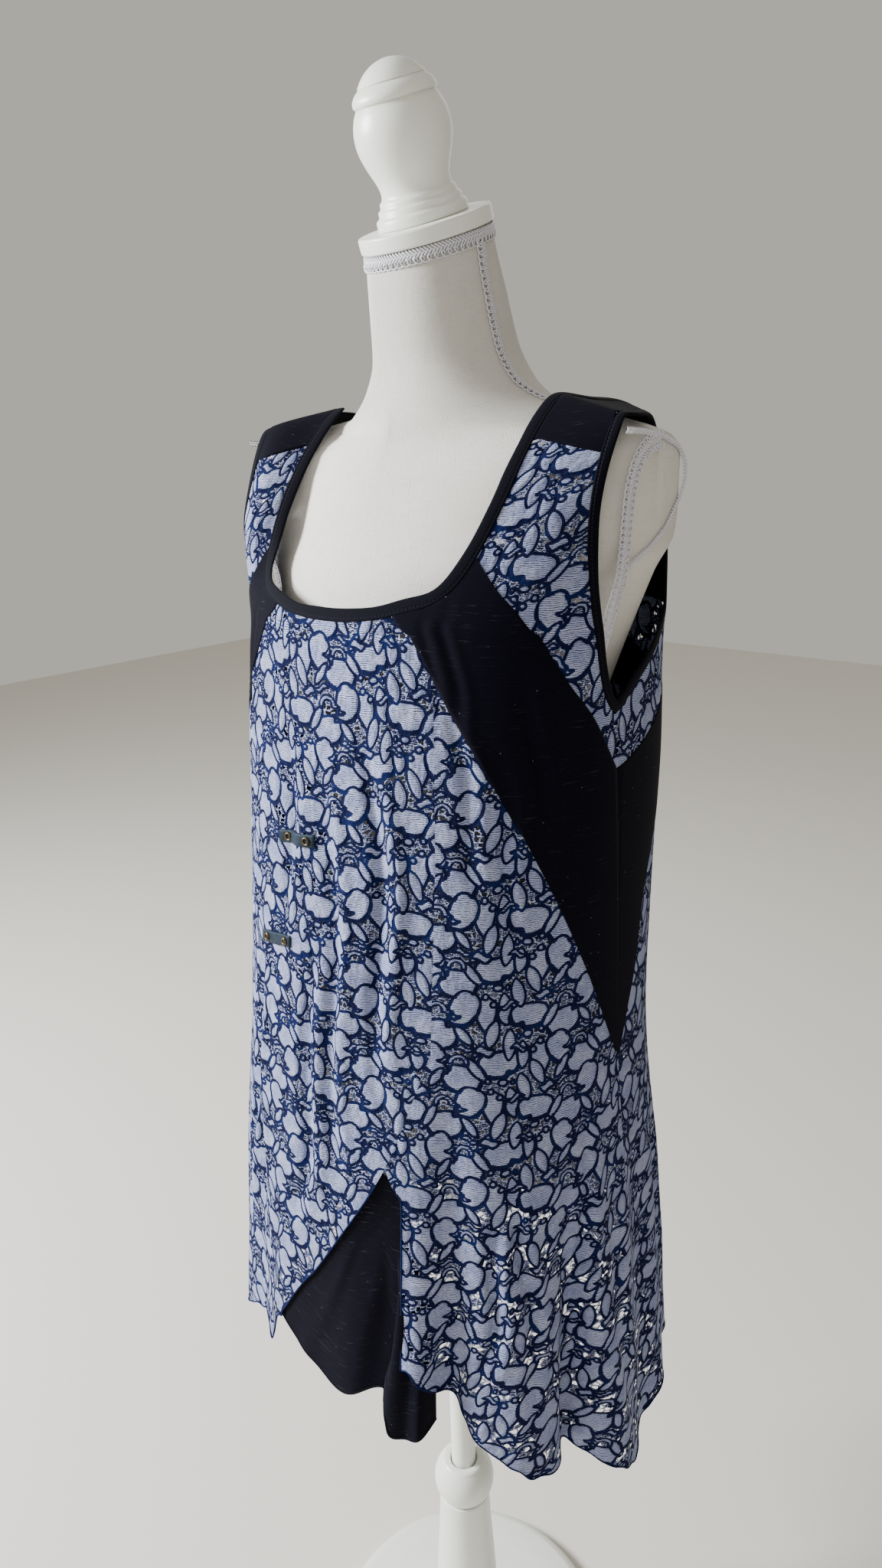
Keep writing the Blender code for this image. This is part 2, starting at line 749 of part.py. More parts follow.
def knit_rows(rows, places, hem):
    """Join the rows into faces: cells between shared columns, triangles along slanted edges."""
    points = []
    numbered = []
    for row in rows:
        numbered.append([(len(points) + place, angle, tag) for place, (angle, _, tag) in enumerate(row)])
        points += [(angle, level) for angle, level, _ in row]
    faces = []
    for lower, upper in zip(numbered, numbered[1:]):
        below = above = 0
        while below < len(lower) - 1 or above < len(upper) - 1:
            ends = (below == len(lower) - 1, above == len(upper) - 1)
            if not any(ends) and lower[below][2] == upper[above][2]:
                if lower[below + 1][2] == upper[above + 1][2]:
                    quad = (lower[below][0], lower[below + 1][0], upper[above + 1][0], upper[above][0])
                    square = isinstance(lower[below][2], int) and isinstance(lower[below + 1][2], int)
                    faces += cut_gap(points, quad, places, hem) if square else [quad]
                    below += 1
                    above += 1
                    continue
            step_below = ends[1] or (not ends[0] and lower[below + 1][1] <= upper[above + 1][1])
            if step_below:
                faces.append((lower[below][0], lower[below + 1][0], upper[above][0]))
                below += 1
            else:
                faces.append((lower[below][0], upper[above + 1][0], upper[above][0]))
                above += 1
    return points, faces


def add_wall(name, points, faces, thick, kind, hem, behind=None):
    """Thicken a patch of the cloth both ways, and close it along its edges and gaps."""
    outer = []
    inner = []
    for angle, level in points:
        spot = cloth_point(angle, level, hem)
        normal = cloth_normal(angle, level, hem)
        if behind:
            spot -= normal * behind(angle, level)
        outer.append(spot + normal * 0.5 * thick)
        inner.append(spot - normal * 0.5 * thick)
    count = len(points)
    edges = {}
    for face in faces:
        for start, end in zip(face, face[1:] + face[:1]):
            edges[(start, end)] = True
    walls = []
    for start, end in edges:
        if (end, start) not in edges:
            walls.append((end, start, start + count, end + count))
    inside = [tuple(count + index for index in reversed(face)) for face in faces]
    return add_object(name, outer + inner, list(faces) + inside + walls, kind)


def add_panel(name, left, right, low, high, kind, thick, hem=LACE_HEM, gaps=False, behind=None):
    """Make one piece of cloth between two edges, from one level to another."""
    levels = row_levels(low, high)
    rows = panel_rows(left, right, levels, hem)
    places = []
    if gaps:
        starts = [row[0][0] for row in rows]
        ends = [row[-1][0] for row in rows]
        places = lace_gap_places(low, high, min(starts), max(ends))
    points, faces = knit_rows(rows, places, hem)
    return add_wall(name, points, faces, thick, kind, hem, behind)


def slit_angle(level, hem=LACE_HEM):
    """Angle of the slanted edge of the slit, at the level of a row that follows a hem."""
    if level >= SLIT_EDGE[-1][0]:
        return LONG_SEAM
    angle = LONG_SEAM
    for _ in range(40):
        angle = table_value(SLIT_EDGE, level_height(angle, level, hem), 1)
    return angle


def upright_angle(level):
    """Angle of the left front lace's free edge: the long seam, the slit's top, then upright."""
    if level >= SLIT_APEX:
        return slit_angle(level)
    apex = slit_angle(SLIT_APEX)
    share = smooth_step((SLIT_APEX - level) / (SLIT_APEX - SLIT_CORNER))
    return apex + (SLIT_UPRIGHT - apex) * share


# Which side a piece is on: its name, and how an angle from the middle of its side becomes an
# angle round the body. A mirrored piece has its edges swapped.
SIDES = {
    "front_left": (lambda angle: angle, False),
    "front_right": (lambda angle: -angle, True),
    "back_left": (lambda angle: 180.0 - angle, True),
    "back_right": (lambda angle: 180.0 + angle, False),
}


def add_side_panel(name, side, inner, outer, low, high, kind, thick, gaps=False):
    """Make a panel from edges that are given as angles from the centre front or centre back."""
    turned, swapped = SIDES[side]
    left = (lambda level: turned(outer(level))) if swapped else (lambda level: turned(inner(level)))
    right = (lambda level: turned(inner(level))) if swapped else (lambda level: turned(outer(level)))
    return add_panel(name, left, right, low, high, kind, thick, gaps=gaps)


def build_bands_and_yokes():
    """Slanted jersey bands, and the lace yokes above them, on all four quarters."""
    for side in SIDES:
        face, hand = side.split("_")
        lower, upper, armhole, band_top, yoke_top = QUARTERS[face]

        def band_inner(level, table=lower):
            return table_value(table, level, 1)

        def seam(level, table=upper):
            return table_value(table, level, 1)

        def yoke_outer(level, table=armhole):
            return table_value(table, level, 1)

        top = 0.5 * SEAM_GAP
        add_side_panel(face + "_band_" + hand, side, band_inner, seam,
                       lower[0][0], band_top - top, "jersey", JERSEY_THICK)
        add_side_panel(face + "_yoke_" + hand, side, seam, yoke_outer,
                       upper[0][0], yoke_top - top, "lace", LACE_THICK, gaps=True)


def build_shoulders():
    """Jersey pieces that pass over the shoulders, from the front yokes to the back's top piece."""
    def inner(level):
        if level <= RIDGE:
            return table_value(NECK_FRONT, level, 1)
        return table_value(NECK_BACK, 2.0 * RIDGE - level, 1)

    def outer(level):
        if level <= RIDGE:
            return table_value(ARMHOLE_FRONT, level, 1)
        return table_value(ARMHOLE_BACK, 2.0 * RIDGE - level, 1)

    low = YOKE_TOP + 0.5 * SEAM_GAP
    high = 2.0 * RIDGE - NECK_BACK[0][0] - 0.5 * SEAM_GAP
    add_panel("shoulder_left", inner, outer, low, high, "jersey", JERSEY_THICK)
    add_panel("shoulder_right", lambda level: -outer(level), lambda level: -inner(level),
              low, high, "jersey", JERSEY_THICK)


def build_back_top():
    """The jersey piece across the shoulder blades, from the bands up to the neck."""
    def start(level):
        return 180.0 - table_value(ARMHOLE_BACK, level, 1)

    def end(level):
        return 180.0 + table_value(ARMHOLE_BACK, level, 1)

    low = BACK_BAND_UPPER[-1][0] + 0.5 * SEAM_GAP
    high = NECK_BACK[0][0] - 0.5 * SEAM_GAP
    add_panel("back_top", start, end, low, high, "jersey", JERSEY_THICK)


def build_laces():
    """The three large lace panels: two at the front, joined by the long seam, and one at the back."""
    def front_side(level):
        return table_value(FRONT_BAND_LOWER, level, 1)

    def back_side(level):
        return table_value(BACK_BAND_LOWER, level, 1)

    def right_start(level):
        return -front_side(level)

    def right_end(level):
        return min(slit_angle(level), front_side(level))

    def back_start(level):
        return 180.0 - back_side(level)

    def back_end(level):
        return 180.0 + back_side(level)

    seam_top = FRONT_BAND_LOWER[6][0]
    front_top = NECK_FRONT[0][0] - 0.5 * SEAM_GAP
    back_top = BACK_BAND_LOWER[-1][0]
    panels = (
        ("front_lace_right", right_start, right_end, front_top),
        ("front_lace_left", upright_angle, front_side, seam_top),
        ("back_lace", back_start, back_end, back_top),
    )
    for name, left, right, top in panels:
        add_panel(name, left, right, SKIRT_LOW, top, "lace", LACE_THICK, gaps=True)


def build_inset():
    """The jersey piece in the front slit. It hangs below the lace and passes behind its left edge."""
    def start(level):
        return slit_angle(level, INSET_HEM) - INSET_LAP

    def end(level):
        return SLIT_UPRIGHT + INSET_UNDERLAP * smooth_step((SLIT_APEX - level) / INSET_SPREAD)

    def behind(angle, level):
        near, far = INSET_BEHIND
        return near + (far - near) * smooth_step((angle - start(level)) / INSET_EASE)

    add_panel("front_inset", start, end, SKIRT_LOW, SLIT_APEX - INSET_SEWN, "jersey", JERSEY_THICK,
              hem=INSET_HEM, behind=behind)


def build_binding(name, track, middle, width=BINDING_WIDTH):
    """Bind an opening: a strip along its edge, on the side that faces the opening's middle."""
    path = [cloth_point(angle, level) for angle, level in track]
    normals = [cloth_normal(angle, level) for angle, level in track]
    count = len(path)
    sides = []
    for step in range(count):
        along = (path[(step + 1) % count] - path[step - 1]).normalized()
        side = normals[step].cross(along).normalized()
        if side.dot(middle - path[step]) < 0:
            side = -side
        sides.append(side)
    reach = (0.5 * SEAM_GAP, width)
    add_strip(name, path, sides, normals, reach, BINDING_THICK, -0.5 * BINDING_THICK, "binding")


def edge_track(table, low):
    """Points of an edge at every shared row, from its lowest row up to the ridge."""
    return [(table_value(table, level, 1), level) for level in ROWS if level >= low - 0.0001]


def over_the_ridge(front, back):
    """Join a front track, going up, to a back track, going down."""
    return front + [(angle, 2.0 * RIDGE - level) for angle, level in reversed(back[:-1])]


def build_bindings():
    """Bindings round the neck and both armholes."""
    front = edge_track(NECK_FRONT, NECK_FRONT[0][0])
    back = [(NECK_BACK[0][1], NECK_BACK[0][0])] + edge_track(NECK_BACK, NECK_BACK[1][0])
    bottom = [(float(angle), NECK_FRONT[0][0]) for angle in (0, 6, 12)]
    nape = [(float(angle), 2.0 * RIDGE - NECK_BACK[0][0]) for angle in (6, 0)]
    half = bottom + over_the_ridge(front, back) + nape
    other = [(-angle, level) for angle, level in reversed(half[1:-1])]
    build_binding("neck_binding", half + other, NECK_MIDDLE)
    front = edge_track(ARMHOLE_FRONT, ARMHOLE_FRONT[0][0])
    back = edge_track(ARMHOLE_BACK, ARMHOLE_BACK[0][0])[1:]
    for hand, mirror in (("left", 1.0), ("right", -1.0)):
        track = [(mirror * angle, level) for angle, level in over_the_ridge(front, back)]
        middle = ARMHOLE_MIDDLE * Vector((mirror, 1.0, 1.0))
        build_binding("armhole_binding_" + hand, track, middle, ARMHOLE_BINDING)


def build_tabs():
    """Small leather tabs on the right front lace, each with two brass eyelets."""
    for name, middle, height, rise in TABS:
        lift = 0.5 * LACE_THICK + SEAM_GAP
        round_body, upward = cloth_slopes(middle, height)
        columns = 7
        rows = 3
        points = []
        for row in range(rows):
            for place in range(columns):
                share = place / (columns - 1) - 0.5
                along = share * TAB_LENGTH - TAB_SHIFT
                angle = middle + along / round_body.length
                level = height + along * rise / TAB_LENGTH
                level += (row / (rows - 1) - 0.5) * TAB_HEIGHT / upward.length
                points.append((angle, level))
        faces = []
        for row in range(rows - 1):
            for place in range(columns - 1):
                corner = row * columns + place
                faces.append((corner, corner + 1, corner + columns + 1, corner + columns))
        add_wall(name, points, faces, TAB_THICK, "leather", LACE_HEM,
                 behind=lambda angle, level: -(lift + 0.5 * TAB_THICK))
        for number, share in ((1, -0.5), (2, 0.5)):
            angle = middle + share * EYELET_SPACING / round_body.length
            level = height + share * rise * EYELET_SPACING / TAB_LENGTH
            add_eyelet(name.replace("tab", "eyelet") + "_%d" % number, angle, level,
                       lift + TAB_THICK + SEAM_GAP)


def add_eyelet(name, angle, level, lift):
    """A brass ring with a rounded rim, flat on the tab."""
    profile = [
        (EYELET_HOLE, 0.0),
        (EYELET_RADIUS, 0.0),
        (0.94 * EYELET_RADIUS, 0.6 * EYELET_HEIGHT),
        (0.74 * EYELET_RADIUS, EYELET_HEIGHT),
        (0.60 * EYELET_RADIUS, 0.75 * EYELET_HEIGHT),
        (EYELET_HOLE, 0.0),
    ]
    normal = cloth_normal(angle, level)
    made = add_turned(name, profile, "brass", segments=12)
    spot = cloth_point(angle, level) + normal * lift
    turn = normal.to_track_quat("Z", "Y").to_matrix().to_4x4()
    made.data.transform(Matrix.Translation(spot) @ turn)


# ---------------------------------------------------------------- the dress form

def form_point(angle, height):
    """A point of the form's surface, by angle from the centre front and height on its axis."""
    middle, half_width, front, back, tilt = (
        table_value(FORM_RINGS, height, index) for index in (1, 2, 3, 4, 5)
    )
    across = math.sin(math.radians(angle))
    ahead = math.cos(math.radians(angle))
    power = 2.0 / table_value(FORM_RINGS, height, 6 if ahead > 0 else 7)
    x = half_width * math.copysign(abs(across) ** power, across)
    if height < ARM_PLATE_TOP:
        x = min(max(x, -ARM_PLATE_X), ARM_PLATE_X)
    reach = -front if ahead > 0 else back
    ahead_by = reach * abs(ahead) ** power
    lean = math.radians(tilt)
    return swung(Vector((x, middle + ahead_by * math.cos(lean), height + ahead_by * math.sin(lean))))


def form_normal(angle, height):
    """Direction out of the form's surface."""
    round_body = form_point(angle + 1.0, height) - form_point(angle - 1.0, height)
    upward = form_point(angle, height + 0.003) - form_point(angle, height - 0.003)
    return round_body.cross(upward).normalized()


def build_form_body():
    """The padded torso with its neck, one closed loft."""
    points = []
    for ring in FORM_RINGS:
        for step in range(FORM_SEGMENTS):
            points.append(form_point(360.0 * step / FORM_SEGMENTS, ring[0]))
    faces = []
    for ring in range(len(FORM_RINGS) - 1):
        for step in range(FORM_SEGMENTS):
            turn = (step + 1) % FORM_SEGMENTS
            low = ring * FORM_SEGMENTS
            high = low + FORM_SEGMENTS
            faces.append((low + step, low + turn, high + turn, high + step))
    faces.append(tuple(reversed(range(FORM_SEGMENTS))))
    last = (len(FORM_RINGS) - 1) * FORM_SEGMENTS
    faces.append(tuple(range(last, last + FORM_SEGMENTS)))
    add_object("form_body", points, faces, "linen")


def build_form_cap():
    """The round wooden cap of the neck, and the turned finial that stands on it."""
    disc = [
        (0.0, 0.0),
        (DISC_RADIUS - DISC_EDGE, 0.0),
        (DISC_RADIUS, DISC_EDGE),
        (DISC_RADIUS, DISC_THICK - DISC_EDGE),
        (DISC_RADIUS - DISC_EDGE, DISC_THICK),
        (0.0, DISC_THICK),
    ]
    add_turned("neck_disc", disc, "paint", NECK_DISC_BASE, NECK_TILT)
    finial = list(FINIAL_STEM) + list(FINIAL_BEAD) + arc(*FINIAL_DOME, DOME_FROM, 0.0, 5)
    axis = Vector((0.0, -math.sin(math.radians(NECK_TILT)), math.cos(math.radians(NECK_TILT))))
    add_turned("neck_finial", finial, "paint", NECK_DISC_BASE + axis * (DISC_THICK + SEAM_GAP), NECK_TILT)


def add_form_braid(name, track, closed):
    """A flat braid on the form, along a track of (angle, height) pairs."""
    path = [form_point(angle, height) for angle, height in track]
    normals = [form_normal(angle, height) for angle, height in track]
    add_braid(name, path, normals, closed)


def add_braid(name, path, normals, closed):
    """A flat braid along points and normals, centred on them."""
    count = len(path)
    sides = []
    for step in range(count):
        after = path[(step + 1) % count] if closed or step < count - 1 else path[step]
        before = path[step - 1] if closed or step > 0 else path[step]
        sides.append(normals[step].cross(after - before).normalized())
    half = 0.5 * BRAID_WIDTH
    add_strip(name, path, sides, normals, (-half, half), BRAID_THICK, BRAID_STANDOFF, "braid", closed)


def build_braids():
    """Looped braid round the neck, down each side of it, and round each arm plate."""
    below_cap = FORM_RINGS[-1][0] - NECK_BRAID_DROP
    ring = [(360.0 * step / FORM_SEGMENTS, below_cap) for step in range(FORM_SEGMENTS)]
    add_form_braid("braid_neck", ring, True)
    for hand, mirror in (("left", 1.0), ("right", -1.0)):
        side = [(mirror * angle, height) for height, angle in SIDE_BRAID]
        add_form_braid("braid_neck_" + hand, side, False)
        add_plate_braid("braid_plate_" + hand, mirror)


def add_plate_braid(name, mirror):
    """The braid round one arm plate, an upright oval on the flat of the form's shoulder."""
    middle_y, middle_z, half_long, half_tall = PLATE_BRAID
    middle = Vector((mirror * ARM_PLATE_X, middle_y, middle_z))
    outside = middle + Vector((mirror * BRAID_WIDTH, 0.0, 0.0))
    facing = (swung(outside) - swung(middle)).normalized()
    path = []
    for step in range(PLATE_STEPS):
        turn = math.tau * step / PLATE_STEPS
        across = half_long * math.cos(turn)
        up = half_tall * math.sin(turn)
        path.append(swung(middle + Vector((0.0, across, up))) + facing * PLATE_STANDOFF)
    add_braid(name, path, [facing] * PLATE_STEPS, True)


# ---------------------------------------------------------------- the stand

def build_stand():
    """Pole, ball joint, turned column and round base, all on the Z axis."""
    form_bottom = FORM_RINGS[0][0] - SEAM_GAP
    add_turned("form_collar", FORM_COLLAR, "paint", Vector((0, 0, form_bottom - COLLAR_HEIGHT)))
    pole_top = form_bottom - COLLAR_HEIGHT - SEAM_GAP
    rim_top = BALL_HEIGHT + BALL_RIM[-1][1]
    pole_bottom = rim_top + SEAM_GAP
    pole = [(0.0, pole_bottom), (POLE_RADIUS, pole_bottom), (POLE_RADIUS, pole_top), (0.0, pole_top)]
    add_turned("stand_pole", pole, "paint")
    lowest = 180.0 - BALL_STEP
    ball = [(0.0, BALL_HEIGHT - BALL_RADIUS)]
    ball += arc(0.0, BALL_HEIGHT, BALL_RADIUS, lowest, BALL_NECK, round((lowest - BALL_NECK) / BALL_STEP))
    ball += [(radius, BALL_HEIGHT + height) for radius, height in BALL_RIM]
    add_turned("stand_ball", ball, "paint")
    cup_radius = BALL_RADIUS + SEAM_GAP
    cup = [(0.0, BALL_HEIGHT - cup_radius)]
    cup += arc(0.0, BALL_HEIGHT, cup_radius, lowest, CUP_EDGE, round((lowest - CUP_EDGE) / BALL_STEP))
    foot = BASE_HEIGHT + SEAM_GAP
    turned = [(0.0, foot), (COLUMN_PROFILE[0][0], foot)] + list(COLUMN_PROFILE)
    turned.append((COLUMN_RIM, COLUMN_TOP))
    add_turned("stand_column", turned + list(reversed(cup)), "paint")
    base = [(0.0, 0.0)] + list(BASE_PROFILE) + [(0.0, BASE_HEIGHT)]
    add_turned("stand_base", base, "paint", segments=BASE_SEGMENTS)


# ---------------------------------------------------------------- build

def build():
    """Clear the scene and make every piece."""
    for old in list(bpy.data.objects):
        bpy.data.objects.remove(old, do_unlink=True)
    build_laces()
    build_bands_and_yokes()
    build_shoulders()
    build_back_top()
    build_inset()
    build_bindings()
    build_tabs()
    build_form_body()
    build_form_cap()
    build_braids()
    build_stand()


build()
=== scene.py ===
"""Looks of a sleeveless lace and jersey tunic top, worn on a padded dress form on a turned stand.

Metres, +Z up. The front faces -Y and the wearer's left is +X. The cloth is one surface,
cloth(angle, level), and every piece of the garment is a patch of it with its own cloth, creases and
edges. Angle is in degrees round the body from the centre front; level is the height above the floor
up to the bust, and a measure along the cloth from there to the ridge of the shoulders.
"""

import math

import bpy
import numpy as np
from mathutils import Matrix, Vector


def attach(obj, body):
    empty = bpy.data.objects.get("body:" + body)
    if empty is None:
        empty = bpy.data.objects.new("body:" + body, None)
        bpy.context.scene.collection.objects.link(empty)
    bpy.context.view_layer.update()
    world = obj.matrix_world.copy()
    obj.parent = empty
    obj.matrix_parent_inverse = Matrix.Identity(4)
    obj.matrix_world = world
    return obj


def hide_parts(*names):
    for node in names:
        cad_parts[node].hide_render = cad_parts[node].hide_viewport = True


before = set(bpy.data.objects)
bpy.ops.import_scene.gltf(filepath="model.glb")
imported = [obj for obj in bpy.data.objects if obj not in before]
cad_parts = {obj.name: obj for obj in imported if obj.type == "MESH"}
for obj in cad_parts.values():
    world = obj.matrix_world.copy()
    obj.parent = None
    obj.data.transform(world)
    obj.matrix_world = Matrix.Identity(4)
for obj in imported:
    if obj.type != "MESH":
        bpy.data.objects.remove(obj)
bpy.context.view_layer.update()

# ---------------------------------------------------------------- sizes of the garment and the form

BUST = 1.27
RIDGE = 1.49
RIDGE_HEIGHT = 1.438
RIDGE_START = 0.100
RIDGE_FALL = 0.29
RIDGE_CLIMB = 0.03
RIDGE_Y = 0.018
RIDGE_NARROWING = 0.97
CHEST_ROUND = 1.3
BLADE_ROUND = (2.6, 5.0)
BLADE_SPREAD = 50.0
SHOULDER_SWING = 18.0
SWING_REACH = (0.09, 0.16)
SWING_HEIGHT = (1.25, 1.35)
SKIRT_TOP = 0.82
SKIRT_LOW = 0.46
FOLD_FULL = 0.56

GARMENT_RINGS = (
    # height, half_width, front_y, back_y, side_seam_y, front_roundness, back_roundness
    (0.47, 0.226, -0.218, 0.200, -0.003, 2.2, 2.2),
    (0.60, 0.218, -0.208, 0.190, -0.003, 2.2, 2.2),
    (0.72, 0.208, -0.195, 0.178, -0.002, 2.2, 2.2),
    (0.82, 0.199, -0.184, 0.166, -0.002, 2.2, 2.2),
    (0.92, 0.190, -0.173, 0.154, -0.002, 2.2, 2.3),
    (1.00, 0.187, -0.164, 0.145, -0.001, 2.2, 2.5),
    (1.08, 0.186, -0.155, 0.147, -0.002, 2.2, 2.65),
    (1.16, 0.185, -0.147, 0.153, -0.006, 2.1, 2.8),
    (1.23, 0.184, -0.140, 0.156, -0.011, 2.0, 2.8),
    (1.27, 0.182, -0.134, 0.165, -0.012, 1.95, 2.8),
)

FOLDS = (
    # angle, half_width (degrees), depth, top
    (12.0, 7.0, -0.006, 0.86),
    (29.0, 4.5, -0.009, 0.80),
    (38.0, 5.0, 0.018, 1.00),
    (55.0, 6.0, -0.010, 0.92),
    (71.0, 4.2, 0.030, 0.86),
    (82.0, 6.5, -0.010, 0.84),
    (97.0, 6.0, 0.014, 0.96),
    (118.0, 7.0, 0.016, 1.02),
    (141.0, 6.0, 0.012, 0.90),
    (163.0, 7.0, 0.018, 1.04),
    (186.0, 6.0, 0.010, 0.92),
    (207.0, 7.0, 0.019, 1.06),
    (231.0, 6.0, 0.011, 0.90),
    (252.0, 7.0, 0.017, 0.98),
    (274.0, 6.0, 0.012, 0.88),
    (296.0, 6.0, 0.014, 0.94),
    (318.0, 6.0, 0.006, 0.86),
    (338.0, 6.0, 0.007, 0.90),
)

# Soft creases pressed into the hanging cloth, deeper ones first. Each runs up a slanted line.
CREASES = (
    # angle at its foot, level of its foot, level of its top, lean (degrees over its length),
    # half_width (degrees), depth
    (-62.0, 0.50, 0.98, 6.0, 2.6, 0.0054),
    (-47.0, 0.52, 0.88, -4.0, 2.2, 0.0046),
    (-33.0, 0.60, 0.94, 5.0, 2.0, 0.0041),
    (-22.0, 0.66, 1.04, -5.0, 2.1, 0.0048),
    (-4.0, 0.70, 1.08, 4.0, 1.9, 0.0060),
    (6.0, 0.82, 1.20, -5.0, 2.2, 0.0066),
    (19.0, 0.90, 1.24, -4.0, 2.4, 0.0070),
    (46.0, 0.56, 0.84, 5.0, 1.6, 0.0056),
    (58.0, 0.54, 0.90, -4.0, 1.8, 0.0060),
    (73.5, 0.52, 0.92, 3.0, 1.6, 0.0054),
    (86.0, 0.50, 0.86, -3.0, 2.2, 0.0046),
    (44.0, 1.08, 1.24, -7.0, 2.0, 0.0030),
    (55.0, 1.02, 1.20, -5.0, 1.8, 0.0027),
    (64.0, 1.10, 1.26, -8.0, 2.2, 0.0032),
    (34.0, 1.20, 1.325, -5.0, 1.1, 0.0012),
    (40.0, 1.19, 1.325, -6.0, 1.2, 0.0013),
    (-42.0, 1.10, 1.30, 5.0, 1.8, 0.0032),
    (-50.0, 1.12, 1.29, 6.0, 1.7, 0.0027),
    (-70.0, 1.00, 1.24, 4.0, 2.4, 0.0035),
    (-12.0, 1.00, 1.22, 3.0, 2.4, 0.0035),
    (108.0, 0.52, 0.92, 5.0, 2.4, 0.0049),
    (127.0, 0.54, 0.86, -5.0, 2.2, 0.0046),
    (150.0, 0.54, 0.98, 4.0, 2.4, 0.0051),
    (174.0, 0.54, 0.90, -4.0, 2.2, 0.0041),
    (196.0, 0.54, 0.96, 5.0, 2.4, 0.0049),
    (219.0, 0.54, 0.88, -4.0, 2.2, 0.0043),
    (241.0, 0.54, 0.94, 4.0, 2.2, 0.0046),
    (263.0, 0.52, 0.90, -4.0, 2.0, 0.0041),
    (168.0, 1.06, 1.26, 4.0, 2.6, 0.0035),
    (192.0, 1.08, 1.28, -4.0, 2.6, 0.0035),
    (208.0, 1.12, 1.24, 6.0, 2.0, 0.0027),
    (151.0, 1.10, 1.24, -6.0, 2.0, 0.0027),
)

CREASE_WANDER = 1.2
CREASE_RIDGE_AT = 2.1
CREASE_RIDGE = 0.55
CREASE_FADE = 0.10

LACE_HEM = (
    # angle, height
    (-10.0, 0.636), (0.0, 0.640), (20.0, 0.655), (26.0, 0.656), (33.0, 0.634), (38.0, 0.624),
    (43.0, 0.588), (50.0, 0.572), (58.0, 0.552), (65.0, 0.541), (71.0, 0.537), (75.0, 0.531),
    (82.0, 0.511), (92.0, 0.487), (100.0, 0.502), (112.0, 0.520), (135.0, 0.512), (158.0, 0.530),
    (180.0, 0.516), (203.0, 0.532), (226.0, 0.514), (248.0, 0.524), (262.0, 0.500), (272.0, 0.490),
    (286.0, 0.526), (304.0, 0.548), (322.0, 0.572), (335.0, 0.602), (343.0, 0.612), (346.0, 0.596),
    (350.0, 0.636),
)
INSET_HEM = (
    # angle, height: a slanting edge, a level one, then the low rounded end of the fold
    (-12.0, 0.642), (-2.0, 0.617), (7.0, 0.604), (9.0, 0.605), (20.0, 0.6235), (22.5, 0.584),
    (28.0, 0.5875), (32.0, 0.592), (36.0, 0.602),
)

# Seam lines, as angles from the centre front or the centre back.
FRONT_BAND_LOWER = (
    # level, angle
    (0.907, 90.0), (0.979, 81.0), (1.038, 72.0), (1.105, 60.0), (1.160, 48.5), (1.203, 39.7),
    (1.236, 33.0), (1.286, 21.0),
)
FRONT_BAND_UPPER = (
    # level, angle
    (1.160, 90.0), (1.203, 80.5), (1.236, 69.8), (1.269, 61.2), (1.300, 54.5), (1.320, 47.0),
    (1.340, 39.3),
)
BACK_BAND_LOWER = (
    # level, angle
    (0.907, 90.0), (0.945, 86.0), (0.979, 82.0), (1.038, 78.0), (1.072, 72.0), (1.105, 62.0),
    (1.160, 36.0), (1.203, 10.0), (1.218, 0.0),
)
BACK_BAND_UPPER = (
    # level, angle
    (1.160, 90.0), (1.203, 58.0), (1.218, 36.0), (1.236, 22.0), (1.269, 0.0),
)
ARMHOLE_FRONT = (
    # level, angle
    (1.203, 90.0), (1.218, 85.5), (1.236, 83.2), (1.269, 81.2), (1.300, 79.2), (1.326, 76.8),
    (1.358, 73.0), (1.385, 70.8), (1.420, 69.6), (1.460, 69.2), (1.490, 67.5),
)
ARMHOLE_BACK = (
    # level, angle
    (1.203, 90.0), (1.218, 86.0), (1.236, 77.0), (1.269, 60.0), (1.286, 50.0), (1.300, 46.5),
    (1.340, 45.0), (1.385, 45.0), (1.420, 48.0), (1.460, 56.0), (1.475, 62.0), (1.490, 70.0),
)
NECK_FRONT = (
    # level, angle
    (1.286, 21.0), (1.300, 31.0), (1.320, 36.5), (1.340, 39.3), (1.360, 41.0), (1.385, 42.0),
    (1.490, 42.0),
)
NECK_BACK = (
    # level, angle
    (1.375, 8.0), (1.385, 27.0), (1.403, 35.5), (1.420, 39.0), (1.440, 41.0), (1.460, 42.0),
    (1.490, 42.0),
)
NECK_DIP = 0.0094
NECK_DIP_REACH = 0.075
NECK_DIP_ROUND = 2.3
NECK_DIP_SPREAD = 30.0
NECK_LOW = NECK_FRONT[0][0]
NAPE = NECK_BACK[0][0]
LONG_SEAM = 33.0
LONG_SEAM_TOP = 1.236
SLIT_EDGE = (
    # height, angle
    (0.640, -9.0), (0.752, 7.4), (0.840, 21.0), (0.945, 33.0),
)
SLIT_APEX = 0.840
INSET_TOP = SLIT_APEX - 0.010
SLIT_UPRIGHT = 25.2
SLIT_CORNER = 0.800
YOKE_TOP = 1.420
YOKE_FOOT = FRONT_BAND_UPPER[0][0]
BAND_TOP = 1.340
BAND_FOOT = FRONT_BAND_LOWER[0][0]
BACK_BAND_TOP = BACK_BAND_UPPER[-1][0]
JERSEY_THICK = 0.0012
HANDS = (("left", 1.0), ("right", -1.0))

BINDING_WIDTH = 0.0095
ARMHOLE_BINDING = 0.0075
BINDING_THICK = 0.0024
BINDING_LAP = 0.0008
BINDING_STEP = 0.0022
BINDING_LINE = (
    # share of the width, lift in half thicknesses: the top with its stitched groove, then the underside
    (0.0, 0.20), (0.02, 0.62), (0.10, 0.92), (0.19, 0.98), (0.215, 0.72), (0.24, 0.98),
    (0.40, 1.06), (0.60, 1.08), (0.80, 1.02), (0.93, 0.82), (0.985, 0.45), (1.0, 0.0),
    (0.985, -0.45), (0.90, -0.85), (0.50, -1.0), (0.14, -0.80), (0.02, -0.30),
)

